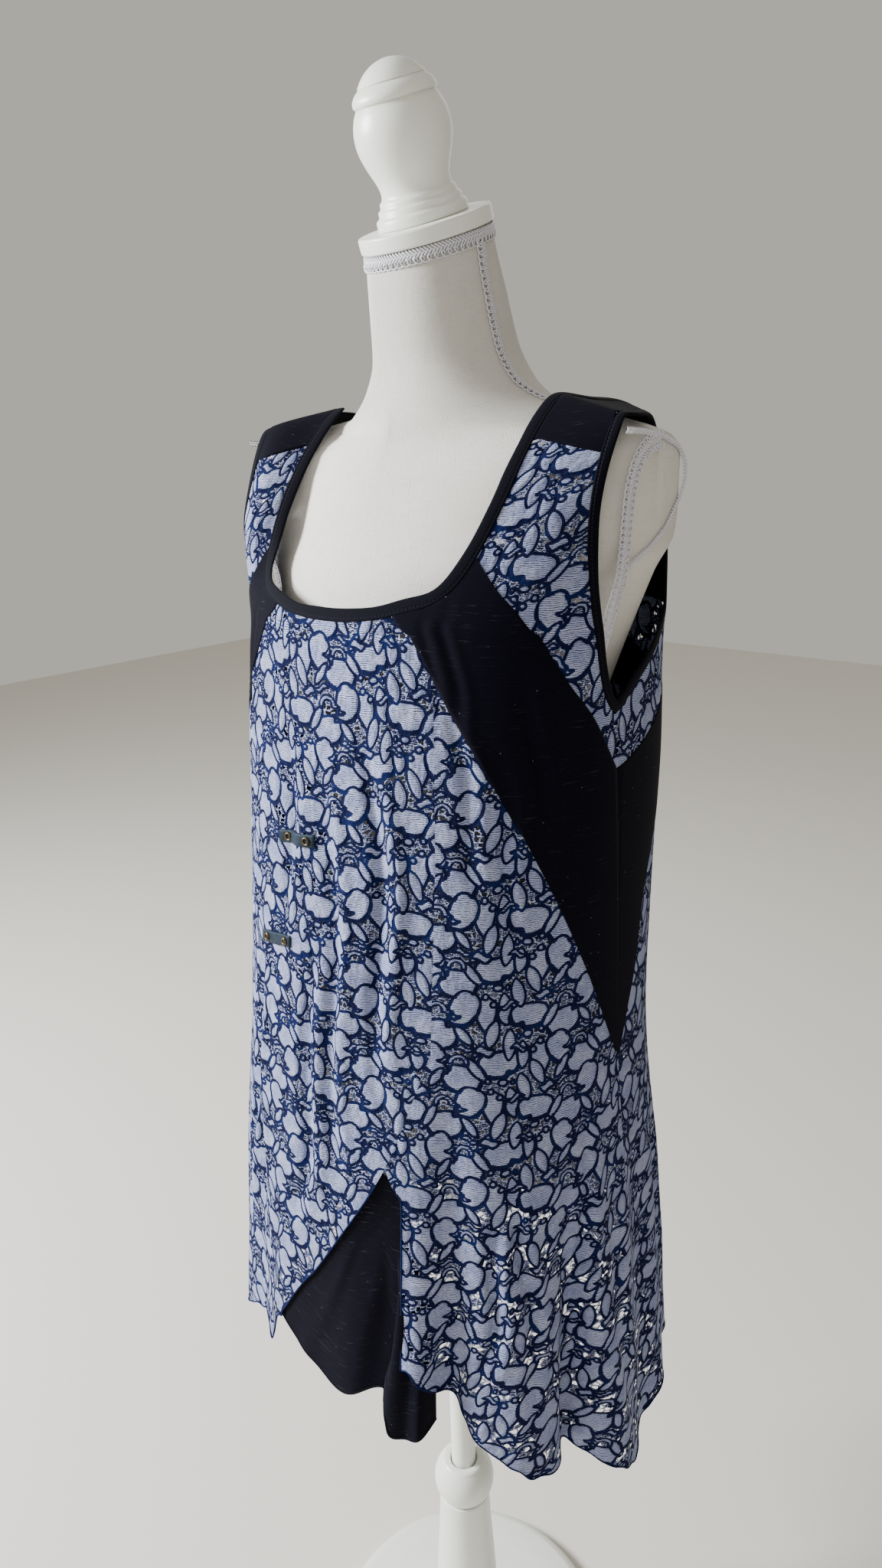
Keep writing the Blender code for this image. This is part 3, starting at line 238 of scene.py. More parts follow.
TABS = (
    # name, angle of its middle, height of its middle, rise to the wearer's left
    ("tab_upper", -6.5, 1.098, 0.006),
    ("tab_lower", -14.5, 1.002, 0.010),
)
TAB_LENGTH = 0.048
TAB_HEIGHT = 0.0108
TAB_SHIFT = 0.002
TAB_THICK = 0.0016
TAB_LIFT = 0.0012
EYELET_SPACING = 0.030
EYELET_HOLE_RADIUS = 0.0019
EYELET_LINE = (
    # radius, height
    (0.0016, -0.0006), (0.0019, 0.0006), (0.0024, 0.0012), (0.0030, 0.0013), (0.0035, 0.0008), (0.0038, 0.0),
)

FORM_RINGS = (
    # height, middle_y, half_width, front_depth, back_depth, tilt, front_roundness, back_roundness
    (0.7600, 0.004, 0.130, 0.078, 0.084, 0.0, 2.2, 2.2),
    (0.7630, 0.004, 0.142, 0.086, 0.092, 0.0, 2.2, 2.2),
    (0.7740, 0.004, 0.150, 0.092, 0.098, 0.0, 2.2, 2.2),
    (0.8300, 0.004, 0.158, 0.100, 0.108, 0.0, 2.2, 2.2),
    (0.9000, 0.004, 0.155, 0.100, 0.106, 0.0, 2.2, 2.2),
    (0.9800, 0.004, 0.136, 0.092, 0.090, 0.0, 2.2, 2.2),
    (1.0600, 0.004, 0.122, 0.086, 0.080, 0.0, 2.2, 2.2),
    (1.1300, 0.006, 0.130, 0.100, 0.082, 0.0, 2.2, 2.2),
    (1.2000, 0.014, 0.148, 0.128, 0.084, 0.0, 2.2, 2.2),
    (1.2500, 0.028, 0.159, 0.149, 0.084, 0.0, 2.1, 2.3),
    (1.3000, 0.045, 0.172, 0.154, 0.078, 0.0, 2.0, 2.4),
    (1.3350, 0.052, 0.187, 0.139, 0.070, 0.0, 1.9, 2.6),
    (1.3750, 0.053, 0.188, 0.121, 0.069, 0.0, 1.75, 2.7),
    (1.3920, 0.054, 0.187, 0.112, 0.068, 0.0, 1.65, 2.7),
    (1.4030, 0.053, 0.180, 0.1065, 0.063, 0.0, 1.45, 2.7),
    (1.4105, 0.050, 0.164, 0.1005, 0.057, 0.0, 1.3, 2.5),
    (1.4240, 0.038, 0.114, 0.0850, 0.060, 1.0, 1.6, 2.2),
    (1.4340, 0.030, 0.087, 0.0755, 0.064, 3.0, 1.9, 2.0),
    (1.4480, 0.024, 0.0705, 0.0680, 0.063, 6.0, 2.0, 2.0),
    (1.4720, 0.018, 0.0585, 0.0600, 0.0600, 10.0, 2.0, 2.0),
    (1.5020, 0.011, 0.0535, 0.0565, 0.0590, 14.0, 2.0, 2.0),
    (1.5300, 0.005, 0.0508, 0.0530, 0.0540, 17.0, 2.0, 2.0),
    (1.5525, 0.001, 0.0500, 0.0495, 0.0495, 19.4, 2.0, 2.0),
)
ARM_PLATE_X = 0.1780
ARM_PLATE_TOP = 1.405
ARM_PLATE_SWELL = 0.0005

NECK_TILT = 19.4
NECK_DISC_BASE = Vector((0.0, 0.001, 1.5529))
DISC_THICK = 0.012
NECK_BRAID_DROP = 0.0042
SIDE_BRAID = (
    # height, angle from the centre front
    (1.5450, 92.0), (1.5060, 90.0), (1.4780, 88.0), (1.4500, 86.5), (1.4385, 88.0), (1.4300, 90.0),
)
PLATE_BRAID = (
    # y and z on the flat of the shoulder: from the back of its top, forward and down its front
    (0.0560, 1.4000), (0.0400, 1.3975), (0.0265, 1.3895), (0.0175, 1.3765), (0.0125, 1.3610),
    (0.0100, 1.3440), (0.0080, 1.3270), (0.0040, 1.3030), (-0.0090, 1.2790), (-0.0220, 1.2550),
    (-0.0300, 1.2360),
)
PLATE_ROPE = (
    # y and z: over the top, round the back and down to the braid
    (0.0060, 1.4065), (0.0300, 1.4055), (0.0560, 1.4025), (0.0800, 1.3950), (0.0915, 1.3830),
    (0.0920, 1.3690), (0.0835, 1.3545), (0.0660, 1.3350), (0.0460, 1.3230), (0.0260, 1.3150),
    (0.0110, 1.3080),
)


# ---------------------------------------------------------------- small helpers

def smooth(share):
    """Ease from 0 to 1."""
    share = np.clip(share, 0.0, 1.0)
    return share * share * (3.0 - 2.0 * share)


def wrapped(angle):
    """An angle brought between -180 and 180 degrees."""
    return (angle + 180.0) % 360.0 - 180.0


def unit(vectors):
    """Vectors of length 1."""
    return vectors / np.maximum(np.linalg.norm(vectors, axis=-1, keepdims=True), 1e-9)


def along_path(path, closed):
    """Directions along a path of points."""
    if closed:
        return unit(np.roll(path, -1, axis=0) - np.roll(path, 1, axis=0))
    return unit(np.gradient(path, axis=0))


class Curve:
    """A smooth line through one column of a table, with no overshoot between its rows."""

    def __init__(self, table, column, key=0, around=None):
        keys = np.array([row[key] for row in table], float)
        values = np.array([row[column] for row in table], float)
        if around:
            keys = np.concatenate([keys[-2:] - around, keys, keys[:2] + around])
            values = np.concatenate([values[-2:], values, values[:2]])
        self.keys = keys
        self.values = values
        gaps = np.diff(keys)
        slopes = np.diff(values) / gaps
        tangents = np.zeros(len(keys))
        tangents[0] = slopes[0]
        tangents[-1] = slopes[-1]
        for place in range(1, len(keys) - 1):
            before, after = slopes[place - 1], slopes[place]
            if before * after > 0:
                tangents[place] = 2.0 * before * after / (before + after)
        self.tangents = tangents

    def __call__(self, where):
        where = np.asarray(where, float)
        clamped = np.clip(where, self.keys[0], self.keys[-1])
        place = np.clip(np.searchsorted(self.keys, clamped, side="right") - 1, 0, len(self.keys) - 2)
        gap = self.keys[place + 1] - self.keys[place]
        share = (clamped - self.keys[place]) / gap
        squared = share * share
        cubed = squared * share
        return (
            (2 * cubed - 3 * squared + 1) * self.values[place]
            + (cubed - 2 * squared + share) * gap * self.tangents[place]
            + (3 * squared - 2 * cubed) * self.values[place + 1]
            + (cubed - squared) * gap * self.tangents[place + 1]
        )


RING = [None] + [Curve(GARMENT_RINGS, index) for index in range(1, 7)]
FORM_RING = [None] + [Curve(FORM_RINGS, index) for index in range(1, 8)]
LACE_HEM_LINE = Curve(LACE_HEM, 1, around=360.0)
INSET_HEM_LINE = Curve(INSET_HEM, 1)
SEAMS = {name: Curve(table, 1) for name, table in (
    ("front_lower", FRONT_BAND_LOWER), ("front_upper", FRONT_BAND_UPPER),
    ("back_lower", BACK_BAND_LOWER), ("back_upper", BACK_BAND_UPPER),
    ("armhole_front", ARMHOLE_FRONT), ("armhole_back", ARMHOLE_BACK),
    ("neck_front", NECK_FRONT), ("neck_back", NECK_BACK),
)}
SLIT_LINE = Curve(SLIT_EDGE, 1)


def ripple(across, up, seed):
    """A smooth, uneven wave between about -1 and 1 over two lengths in metres."""
    return (
        0.50 * np.sin(across * 61.0 + up * 23.0 + seed)
        + 0.30 * np.sin(across * 127.0 - up * 71.0 + 2.7 * seed)
        + 0.20 * np.sin(up * 151.0 + across * 33.0 + 5.1 * seed)
    )


# ---------------------------------------------------------------- the cloth's surface

def neck_bow(angle, level):
    """The front neck's bottom bows down in its middle: how much a level is lifted beside it."""
    apart = np.abs(wrapped(angle))
    corner = NECK_FRONT[0][1]
    beside = 1.0 - smooth((apart - corner) / NECK_DIP_SPREAD)
    wide = np.minimum(apart / corner, 1.0) ** NECK_DIP_ROUND * beside
    near = 1.0 - smooth(np.abs(level - NECK_LOW) / NECK_DIP_REACH)
    return NECK_DIP * wide * near


def hem_line(angle, hem):
    """Height of a hem at an angle."""
    if hem is LACE_HEM:
        return LACE_HEM_LINE((angle + 10.0) % 360.0 - 10.0)
    return INSET_HEM_LINE(angle)


def level_height(angle, level, hem):
    """Height of a level: in the skirt the rows turn to follow the hem."""
    share = (level - SKIRT_LOW) / (SKIRT_TOP - SKIRT_LOW)
    low = hem_line(angle, hem)
    return np.where(level >= SKIRT_TOP, level, low + share * (SKIRT_TOP - low))


def fold_depth(angle, height):
    """How far the folds draw the cloth in at a place."""
    depth = 0.0
    for middle, half_width, full_depth, top in FOLDS:
        apart = wrapped(angle - middle)
        swell = smooth((top - height) / (top - FOLD_FULL))
        depth = depth + full_depth * swell * np.exp(-(apart / half_width) ** 2)
    return depth


def crease_depth(angle, level):
    """How far the small creases press the cloth in at a place."""
    depth = 0.0
    for foot, low, high, lean, half_width, full_depth in CREASES:
        share = (level - low) / (high - low)
        apart = wrapped(angle - foot - lean * share + CREASE_WANDER * np.sin(9.0 * share + foot))
        window = smooth((share + 0.12) / 0.4) * smooth((1.0 - share) / 0.45)
        trough = np.exp(-(apart / half_width) ** 2)
        ridge = np.exp(-((apart - CREASE_RIDGE_AT * half_width) / half_width) ** 2)
        depth = depth + full_depth * window * (trough - CREASE_RIDGE * ridge)
    return depth


def swing(points):
    """Swing the right shoulder forward, its cloth together with the form inside it."""
    outward = smooth((-points[..., 0] - SWING_REACH[0]) / (SWING_REACH[1] - SWING_REACH[0]))
    upward = smooth((points[..., 2] - SWING_HEIGHT[0]) / (SWING_HEIGHT[1] - SWING_HEIGHT[0]))
    turn = np.radians(SHOULDER_SWING) * outward * upward
    x = points[..., 0] * np.cos(turn) - points[..., 1] * np.sin(turn)
    y = points[..., 0] * np.sin(turn) + points[..., 1] * np.cos(turn)
    return np.stack([x, y, points[..., 2]], axis=-1)


def signed_power(part, power):
    """A sine or cosine made squarer or rounder, with its sign kept: one coordinate of a rounded oval."""
    return np.copysign(np.abs(part) ** power, part)


def cloth(angle, level, hem=LACE_HEM):
    """Points of the cloth. Past the ridge the level runs on, down the other side of the shoulder."""
    angle, level = np.broadcast_arrays(np.asarray(angle, float), np.asarray(level, float))
    over = level > RIDGE
    angle = np.where(over, 180.0 - angle, angle)
    level = np.where(over, 2.0 * RIDGE - level, level)
    creases = crease_depth(angle, level)
    level = level + neck_bow(angle, level)
    height = np.minimum(level_height(angle, level, hem), BUST)
    across = np.sin(np.radians(angle))
    ahead = np.cos(np.radians(angle))
    front = ahead > 0
    power = 2.0 / np.where(front, RING[5](height), RING[6](height))
    x = RING[1](height) * signed_power(across, power)
    side = RING[4](height)
    reach = np.where(front, RING[2](height), RING[3](height))
    y = side + (reach - side) * np.abs(ahead) ** power
    turn = np.clip(np.radians(90.0) * (level - BUST) / (RIDGE - BUST), 0.0, np.pi / 2)
    apart = 180.0 - np.abs(wrapped(angle))
    blade = BLADE_ROUND[0] + (BLADE_ROUND[1] - BLADE_ROUND[0]) * smooth(apart / BLADE_SPREAD)
    profile = 2.0 / np.where(front, CHEST_ROUND, blade)
    rise = np.sin(turn) ** profile
    chest_x = x * (1.0 + (RIDGE_NARROWING - 1.0) * rise)
    top = RIDGE_HEIGHT - RIDGE_FALL * np.maximum(np.abs(chest_x) - RIDGE_START, -RIDGE_CLIMB)
    chest_y = RIDGE_Y + (y - RIDGE_Y) * np.abs(np.cos(turn)) ** profile
    chest_z = BUST + (top - BUST) * rise
    length = np.maximum(np.hypot(x, y - side), 1e-6)
    depth = fold_depth(angle, height) + creases
    low_x = x - x / length * depth
    low_y = y - (y - side) / length * depth
    high = level > BUST
    inward = 1.0 - smooth((level - BUST) / CREASE_FADE)
    chest_x = chest_x - x / length * creases * inward
    chest_y = chest_y - (y - side) / length * creases * inward
    points = np.stack(
        [np.where(high, chest_x, low_x), np.where(high, chest_y, low_y), np.where(high, chest_z, height)],
        axis=-1,
    )
    return swing(points)


def cloth_normal(angle, level, hem=LACE_HEM):
    """Directions out of the cloth."""
    round_body = cloth(angle + 0.4, level, hem) - cloth(angle - 0.4, level, hem)
    upward = cloth(angle, level + 0.0015, hem) - cloth(angle, level - 0.0015, hem)
    return unit(np.cross(round_body, upward))


def slit_angle(level, hem=LACE_HEM):
    """Angle of the slanted edge of the slit, at the level of a row that follows a hem."""
    level = np.asarray(level, float)
    angle = np.full(level.shape, LONG_SEAM)
    for _ in range(30):
        angle = SLIT_LINE(level_height(angle, level, hem))
    return np.where(level >= SLIT_EDGE[-1][0], LONG_SEAM, angle)


def upright_angle(level):
    """Angle of the left front lace's free edge: the long seam, the slit's top, then upright."""
    apex = slit_angle(np.array([SLIT_APEX]))[0]
    share = smooth((SLIT_APEX - np.asarray(level, float)) / (SLIT_APEX - SLIT_CORNER))
    return np.where(level >= SLIT_APEX, slit_angle(level), apex + (SLIT_UPRIGHT - apex) * share)


# ---------------------------------------------------------------- meshes

def place_mesh(name, mesh):
    """Put a mesh into the scene as an object."""
    made = bpy.data.objects.new("finished_" + name, mesh)
    bpy.context.scene.collection.objects.link(made)
    return made


def add_mesh(name, points, faces):
    """Make an object from points and faces of any number of corners."""
    mesh = bpy.data.meshes.new("finished_" + name)
    mesh.from_pydata([tuple(point) for point in points], [], [tuple(face) for face in faces])
    mesh.update()
    mesh.shade_smooth()
    return place_mesh(name, mesh)


def quad_mesh(name, points, faces):
    """Make a mesh from an array of points and one of four-cornered faces."""
    mesh = bpy.data.meshes.new(name)
    mesh.vertices.add(len(points))
    mesh.vertices.foreach_set("co", points.astype(np.float32).ravel())
    mesh.loops.add(4 * len(faces))
    mesh.loops.foreach_set("vertex_index", faces.astype(np.int32).ravel())
    mesh.polygons.add(len(faces))
    mesh.polygons.foreach_set("loop_start", (4 * np.arange(len(faces))).astype(np.int32))
    mesh.update(calc_edges=True)
    mesh.validate()
    mesh.shade_smooth()
    return mesh


def grid_faces(rows, columns, closed=False):
    """Four-cornered faces between rows of points. A closed row joins its last point to its first."""
    spans = columns if closed else columns - 1
    row, column = np.meshgrid(np.arange(rows - 1), np.arange(spans), indexing="ij")
    after = (column + 1) % columns
    low, high = row * columns, (row + 1) * columns
    corners = [low + column, low + after, high + after, high + column]
    return np.stack([corner.ravel() for corner in corners], axis=1)


def add_grid(name, points, closed=False, flat=None, **values):
    """Make a mesh from rows of points, with its flat coordinates as UVs and values on its points."""
    rows, columns = points.shape[:2]
    faces = grid_faces(rows, columns, closed)
    mesh = quad_mesh(name, points.reshape(-1, 3), faces)
    if flat is not None:
        layer = mesh.uv_layers.new(name="cloth")
        loops = flat.reshape(-1, 2)[faces.ravel()]
        layer.data.foreach_set("uv", loops.astype(np.float32).ravel())
    for key, value in values.items():
        attribute = mesh.attributes.new(key, "FLOAT", "POINT")
        attribute.data.foreach_set("value", value.astype(np.float32).ravel())
    return place_mesh(name, mesh)


def dress(piece, material, *nodes, slot=None):
    """Give a piece its material, hide the solids that it stands for and hang it under the root."""
    piece.data.materials.append(material)
    if nodes:
        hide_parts(*nodes)
    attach(piece, "root")
    return piece


def tube_points(path, radius, sides=6, closed=False, flatten=1.0, ups=None):
    """Rows of points round a path."""
    path = np.asarray(path, float)
    along = along_path(path, closed)
    if ups is None:
        up = np.array([0.0, 0.0, 1.0])
        ups = np.where(np.abs(along @ up)[:, None] > 0.9, np.array([1.0, 0.0, 0.0]), up)
    across = unit(np.cross(along, ups))
    above = unit(np.cross(across, along))
    turns = np.linspace(0.0, math.tau, sides, endpoint=False)
    radius = np.broadcast_to(np.asarray(radius, float), (len(path),))[:, None, None]
    return (
        path[:, None, :]
        + radius * np.cos(turns)[None, :, None] * across[:, None, :]
        + radius * flatten * np.sin(turns)[None, :, None] * above[:, None, :]
    )


def merge_grids(name, grids):
    """Make one mesh from several rows-of-points tubes: each is (points, whether its rows join up)."""
    points, faces, start = [], [], 0
    for grid, joined in grids:
        rows, columns = grid.shape[:2]
        made = grid_faces(rows, columns, closed=True)
        if joined:
            ends = np.arange(columns)
            after = (ends + 1) % columns
            last = (rows - 1) * columns
            made = np.concatenate([made, np.stack([last + ends, last + after, after, ends], axis=1)])
        points.append(grid.reshape(-1, 3))
        faces.append(made + start)
        start += rows * columns
    return place_mesh(name, quad_mesh(name, np.concatenate(points), np.concatenate(faces)))


def spaced(path, step, closed=False):
    """Points an even step apart along a path."""
    path = np.asarray(path, float)
    if closed:
        path = np.concatenate([path, path[:1]])
    lengths = np.concatenate([[0.0], np.cumsum(np.linalg.norm(np.diff(path[:, :3], axis=0), axis=1))])
    count = max(int(round(lengths[-1] / step)), 4)
    where = np.linspace(0.0, lengths[-1], count + 1)
    out = np.stack([np.interp(where, lengths, path[:, axis]) for axis in range(path.shape[1])], axis=1)
    return out[:-1] if closed else out


def rounded(path, reach, closed=False):
    """A path with its corners eased over some points on each side."""
    weights = np.hanning(2 * reach + 3)[1:-1]
    weights /= weights.sum()
    if closed:
        padded = np.concatenate([path[-reach:], path, path[:reach]])
    else:
        before = 2 * path[0] - path[reach:0:-1]
        after = 2 * path[-1] - path[-2:-2 - reach:-1]
        padded = np.concatenate([before, path, after])
    columns = [np.convolve(padded[:, axis], weights, mode="valid") for axis in range(path.shape[1])]
    return np.stack(columns, axis=1)


def read_between(table, rows, columns, share_row, share_column):
    """Values between a table's four nearest ones. Rows and columns are each (lower, next)."""
    lower, upper = [
        table[row, columns[0]] * (1 - share_column) + table[row, columns[1]] * share_column for row in rows
    ]
    return lower * (1 - share_row) + upper * share_row


# ---------------------------------------------------------------- flat coordinates of the cloth

FLAT_STEP = 0.01


def flat_table():
    """Lengths along the cloth, round the body from the centre front and up from the bust line."""
    angles = np.arange(-186.0, 366.1, 1.0)
    levels = np.arange(SKIRT_LOW - 0.02, 2.0 * RIDGE - 1.2, FLAT_STEP)
    grid = cloth(angles[None, :], levels[:, None])
    steps = np.linalg.norm(np.diff(grid, axis=1), axis=2)
    across = np.concatenate([np.zeros((len(levels), 1)), np.cumsum(steps, axis=1)], axis=1)
    across -= across[:, angles == 0.0]
    climbs = np.linalg.norm(np.diff(grid, axis=0), axis=2)
    up = np.concatenate([np.zeros((1, len(angles))), np.cumsum(climbs, axis=0)], axis=0)
    bust = int(np.argmin(np.abs(levels - BUST)))
    up -= up[bust:bust + 1]
    return angles, levels, across, up


FLAT = flat_table()


def flat_place(angle, level):
    """Where a point of the cloth lies on the flat fabric: metres across and up."""
    angles, levels, across, up = FLAT
    column = np.clip(angle - angles[0], 0.0, len(angles) - 1.001)
    row = np.clip((level - levels[0]) / FLAT_STEP, 0.0, len(levels) - 1.001)
    low_column = column.astype(int)
    low_row = row.astype(int)
    where = ((low_row, low_row + 1), (low_column, low_column + 1), row - low_row, column - low_column)
    return np.stack([read_between(across, *where), read_between(up, *where)], axis=-1)


# ---------------------------------------------------------------- the lace's chart

# One repeat of the lace, in parts of about a millimetre: a flower of rounded petals and pointed leaves
# round a small cluster of rings, with waved bands and arches beside it. The second flower of the
# repeat is its mirror image. Motifs of a later layer lie over those of an earlier one.
CHART = (111.0, 92.0)
REPEAT = (0.104, 0.080)
SECOND_FLOWER = (50.0, 43.0)
CHART_STEP = 0.5
LAYERS = 4
FAR = 6.0
FLOWER = (
    # kind, layer, x, y, half_length, half_width, turn (degrees), shape, notch (degrees), cord half width
    ("petal", 0, -21.5, 7.0, 16.0, 13.5, 172.0, 0.16, -36.0, 0.95),
    ("spear", 0, 2.0, -24.5, 17.5, 10.5, 271.0, 0.9, None, 0.80),
    ("petal", 1, -17.0, -17.0, 16.5, 12.0, 250.0, 0.10, -44.0, 0.95),
    ("petal", 1, 10.5, 20.5, 17.5, 12.5, 184.0, 0.08, 128.0, 1.00),
    ("leaf", 2, -9.0, 15.8, 14.5, 4.6, 123.0, 0.5, None, 0.85),
    ("leaf", 2, 18.6, -16.0, 12.8, 5.4, 94.0, 0.5, None, 0.75),
    ("leaf", 2, 30.2, -4.7, 14.5, 5.8, 98.0, 0.5, None, 0.75),
    ("leaf", 2, 43.6, 6.8, 14.5, 5.6, 110.0, 0.5, None, 0.75),
    ("leaf", 2, -43.0, 6.5, 12.0, 4.6, 54.0, 0.5, None, 0.90),
    ("leaf", 2, -55.0, -8.0, 9.0, 3.4, 128.0, 0.6, None, 0.75),
    ("leaf", 2, 33.0, 22.0, 9.0, 3.6, 66.0, 0.6, None, 0.75),
    ("band", 3, 52.0, -9.5, 8.5, 3.6, 8.0, 1.5, None, 0.85),
    ("band", 3, -43.0, -6.0, 8.5, 2.2, 10.0, 1.5, None, 0.65),
    ("band", 3, 29.0, 34.0, 9.0, 2.2, -14.0, -1.8, None, 0.65),
    ("band", 3, -34.0, 26.0, 8.0, 2.1, 24.0, 1.5, None, 0.65),
    ("arch", 3, -38.0, -20.0, 6.6, 1.9, 6.0, 0.0, None, 0.60),
    ("ring", 3, -1.0, 4.6, 2.7, 2.7, 0.0, 0.0, None, 0.75),
    ("ring", 3, 12.2, 2.2, 4.6, 3.2, 0.0, 0.0, None, 0.80),
    ("ring", 3, 0.8, -6.4, 2.9, 2.9, 0.0, 0.0, None, 0.80),
    ("ring", 3, 21.0, 1.8, 1.8, 2.8, 0.0, 0.0, None, 0.75),
    ("ring", 3, 8.4, -13.4, 3.0, 2.7, 20.0, 0.0, None, 0.80),
)
LOWER_CORD = {"petal": 0.85, "spear": 0.35, "leaf": 0.10, "band": 0.25, "arch": 0.20, "ring": 0.10}


def motif_outline(kind, half_length, half_width, shape, notch):
    """The outline of one motif round its own middle, in the chart's parts."""
    turns = np.linspace(0.0, math.tau, 72, endpoint=False)
    ahead = np.cos(turns)
    aside = np.sin(turns)
    if kind == "petal":
        along = half_length * signed_power(ahead, 0.80)
        wide = half_width * signed_power(aside, 0.80) * (1.0 + shape * ahead)
        apart = wrapped(np.degrees(np.arctan2(wide, along)) - notch)
        scallop = 0.045 * np.cos(3.0 * turns + 0.8)
        reach = 1.0 + scallop - 0.34 * np.exp(-((apart / 11.0) ** 2))
        return np.stack([along * reach, wide * reach], axis=1)
    if kind == "spear":
        wide = 1.12 * half_width * aside * np.abs(np.sin(0.5 * turns)) ** shape
        return np.stack([half_length * ahead, wide], axis=1)
    if kind == "leaf":
        return np.stack([half_length * ahead, half_width * aside * np.abs(aside) ** shape], axis=1)
    if kind == "ring":
        return np.stack([half_length * ahead, half_width * aside], axis=1)
    if kind == "arch":
        bends = np.linspace(-0.25, math.pi + 0.25, 24)
        bends = np.concatenate([bends, bends[::-1]])
        reach = np.repeat([half_length + half_width, half_length - half_width], 24)
        return np.stack([reach * np.cos(bends), reach * np.sin(bends)], axis=1)
    along = np.linspace(-half_length, half_length, 24)
    wave = shape * np.sin(math.tau * along / (1.6 * half_length))
    taper = half_width * (1.0 - (along / half_length) ** 4)
    upper = np.stack([along, wave + taper], axis=1)
    lower = np.stack([along, wave - taper], axis=1)[::-1]
    return np.concatenate([upper, lower])


def outline_distance(across, up, outline):
    """Distance to a closed outline, negative inside it."""
    near = np.full(across.shape, 1e9)
    inside = np.zeros(across.shape, bool)
    for start, end in zip(outline, np.roll(outline, -1, axis=0)):
        edge = end - start
        share = ((across - start[0]) * edge[0] + (up - start[1]) * edge[1]) / max(edge @ edge, 1e-9)
        share = np.clip(share, 0.0, 1.0)
        gap_x = across - start[0] - share * edge[0]
        gap_y = up - start[1] - share * edge[1]
        near = np.minimum(near, gap_x ** 2 + gap_y ** 2)
        crossing = (start[1] > up) != (end[1] > up)
        if abs(edge[1]) > 1e-9:
            inside ^= crossing & (across < start[0] + (up - start[1]) * edge[0] / edge[1])
    near = np.sqrt(near)
    return np.where(inside, -near, near)


def turned_outline(outline, degrees):
    """An outline turned about its own middle."""
    lean = math.radians(degrees)
    return outline @ np.array([[math.cos(lean), math.sin(lean)], [-math.sin(lean), math.cos(lean)]])


def chart_lace():
    """Distances to each layer's outlines over one repeat, then the half width of the nearest cord."""
    wide, tall = CHART
    columns = int(round(wide / CHART_STEP))
    rows = int(round(tall / CHART_STEP))
    across, up = np.meshgrid(np.arange(columns) * CHART_STEP, np.arange(rows) * CHART_STEP)
    layers = np.full((LAYERS, rows, columns), FAR)
    nearest = np.full(across.shape, FAR)
    cord_width = np.full(across.shape, 0.9)
    for mirror, middle in ((1.0, (0.0, 0.0)), (-1.0, SECOND_FLOWER)):
        for kind, layer, x, y, half_length, half_width, turn, shape, notch, cord in FLOWER:
            outline = turned_outline(motif_outline(kind, half_length, half_width, shape, notch), turn)
            outline = (outline + np.array([x, y])) * np.array([mirror, 1.0]) + np.array(middle)
            reach = 1.3 * max(half_length, half_width) + FAR
            for shift_x in (-wide, 0.0, wide):
                for shift_y in (-tall, 0.0, tall):
                    placed = outline + np.array([shift_x, shift_y])
                    centre = 0.5 * (placed.min(axis=0) + placed.max(axis=0))
                    near = (np.abs(across - centre[0]) < reach) & (np.abs(up - centre[1]) < reach)
                    if not near.any():
                        continue
                    distance = outline_distance(across[near], up[near], placed)
                    layers[layer][near] = np.minimum(layers[layer][near], distance)
                    below = smooth(0.5 - (up[near] - centre[1]) / (1.4 * half_width + 2.0))
                    width = cord * (1.0 + LOWER_CORD[kind] * below)
                    closer = np.abs(distance) < nearest[near]
                    nearest[near] = np.where(closer, np.abs(distance), nearest[near])
                    cord_width[near] = np.where(closer, width, cord_width[near])
    return [*layers, cord_width]


CHARTED = chart_lace()


def read_chart(flat, place, lean):
    """The chart's values at flat places in metres, for lace whose flower lies at a place and leans."""
    warp_x = 0.0016 * ripple(flat[..., 0], flat[..., 1], 1.7 + 40.0 * place[0])
    warp_y = 0.0015 * ripple(flat[..., 1], flat[..., 0], 4.2 + 40.0 * place[1])
    right = flat[..., 0] - place[0] + warp_x
    above = flat[..., 1] - place[1] + warp_y
    share_x = (right - lean[0] * above) / REPEAT[0]
    share_y = (above - lean[1] * right) / REPEAT[1]
    rows, columns = CHARTED[0].shape
    column = (share_x % 1.0) * columns
    row = (share_y % 1.0) * rows
    low_column = column.astype(int) % columns
    low_row = row.astype(int) % rows
    near_rows = (low_row, (low_row + 1) % rows)
    near_columns = (low_column, (low_column + 1) % columns)
    shares = (row - np.floor(row), column - np.floor(column))
    keys = ["layer_%d" % layer for layer in range(1, LAYERS + 1)] + ["cord"]
    return {key: read_between(table, near_rows, near_columns, *shares) for key, table in zip(keys, CHARTED)}


# ---------------------------------------------------------------- materials

MM = 1000.0


def linear(code):
    """A colour code as linear red, green, blue and full opacity."""
    parts = [int(code[place:place + 2], 16) / 255.0 for place in (1, 3, 5)]
    parts = [part / 12.92 if part <= 0.04045 else ((part + 0.055) / 1.055) ** 2.4 for part in parts]
    return tuple(parts) + (1.0,)


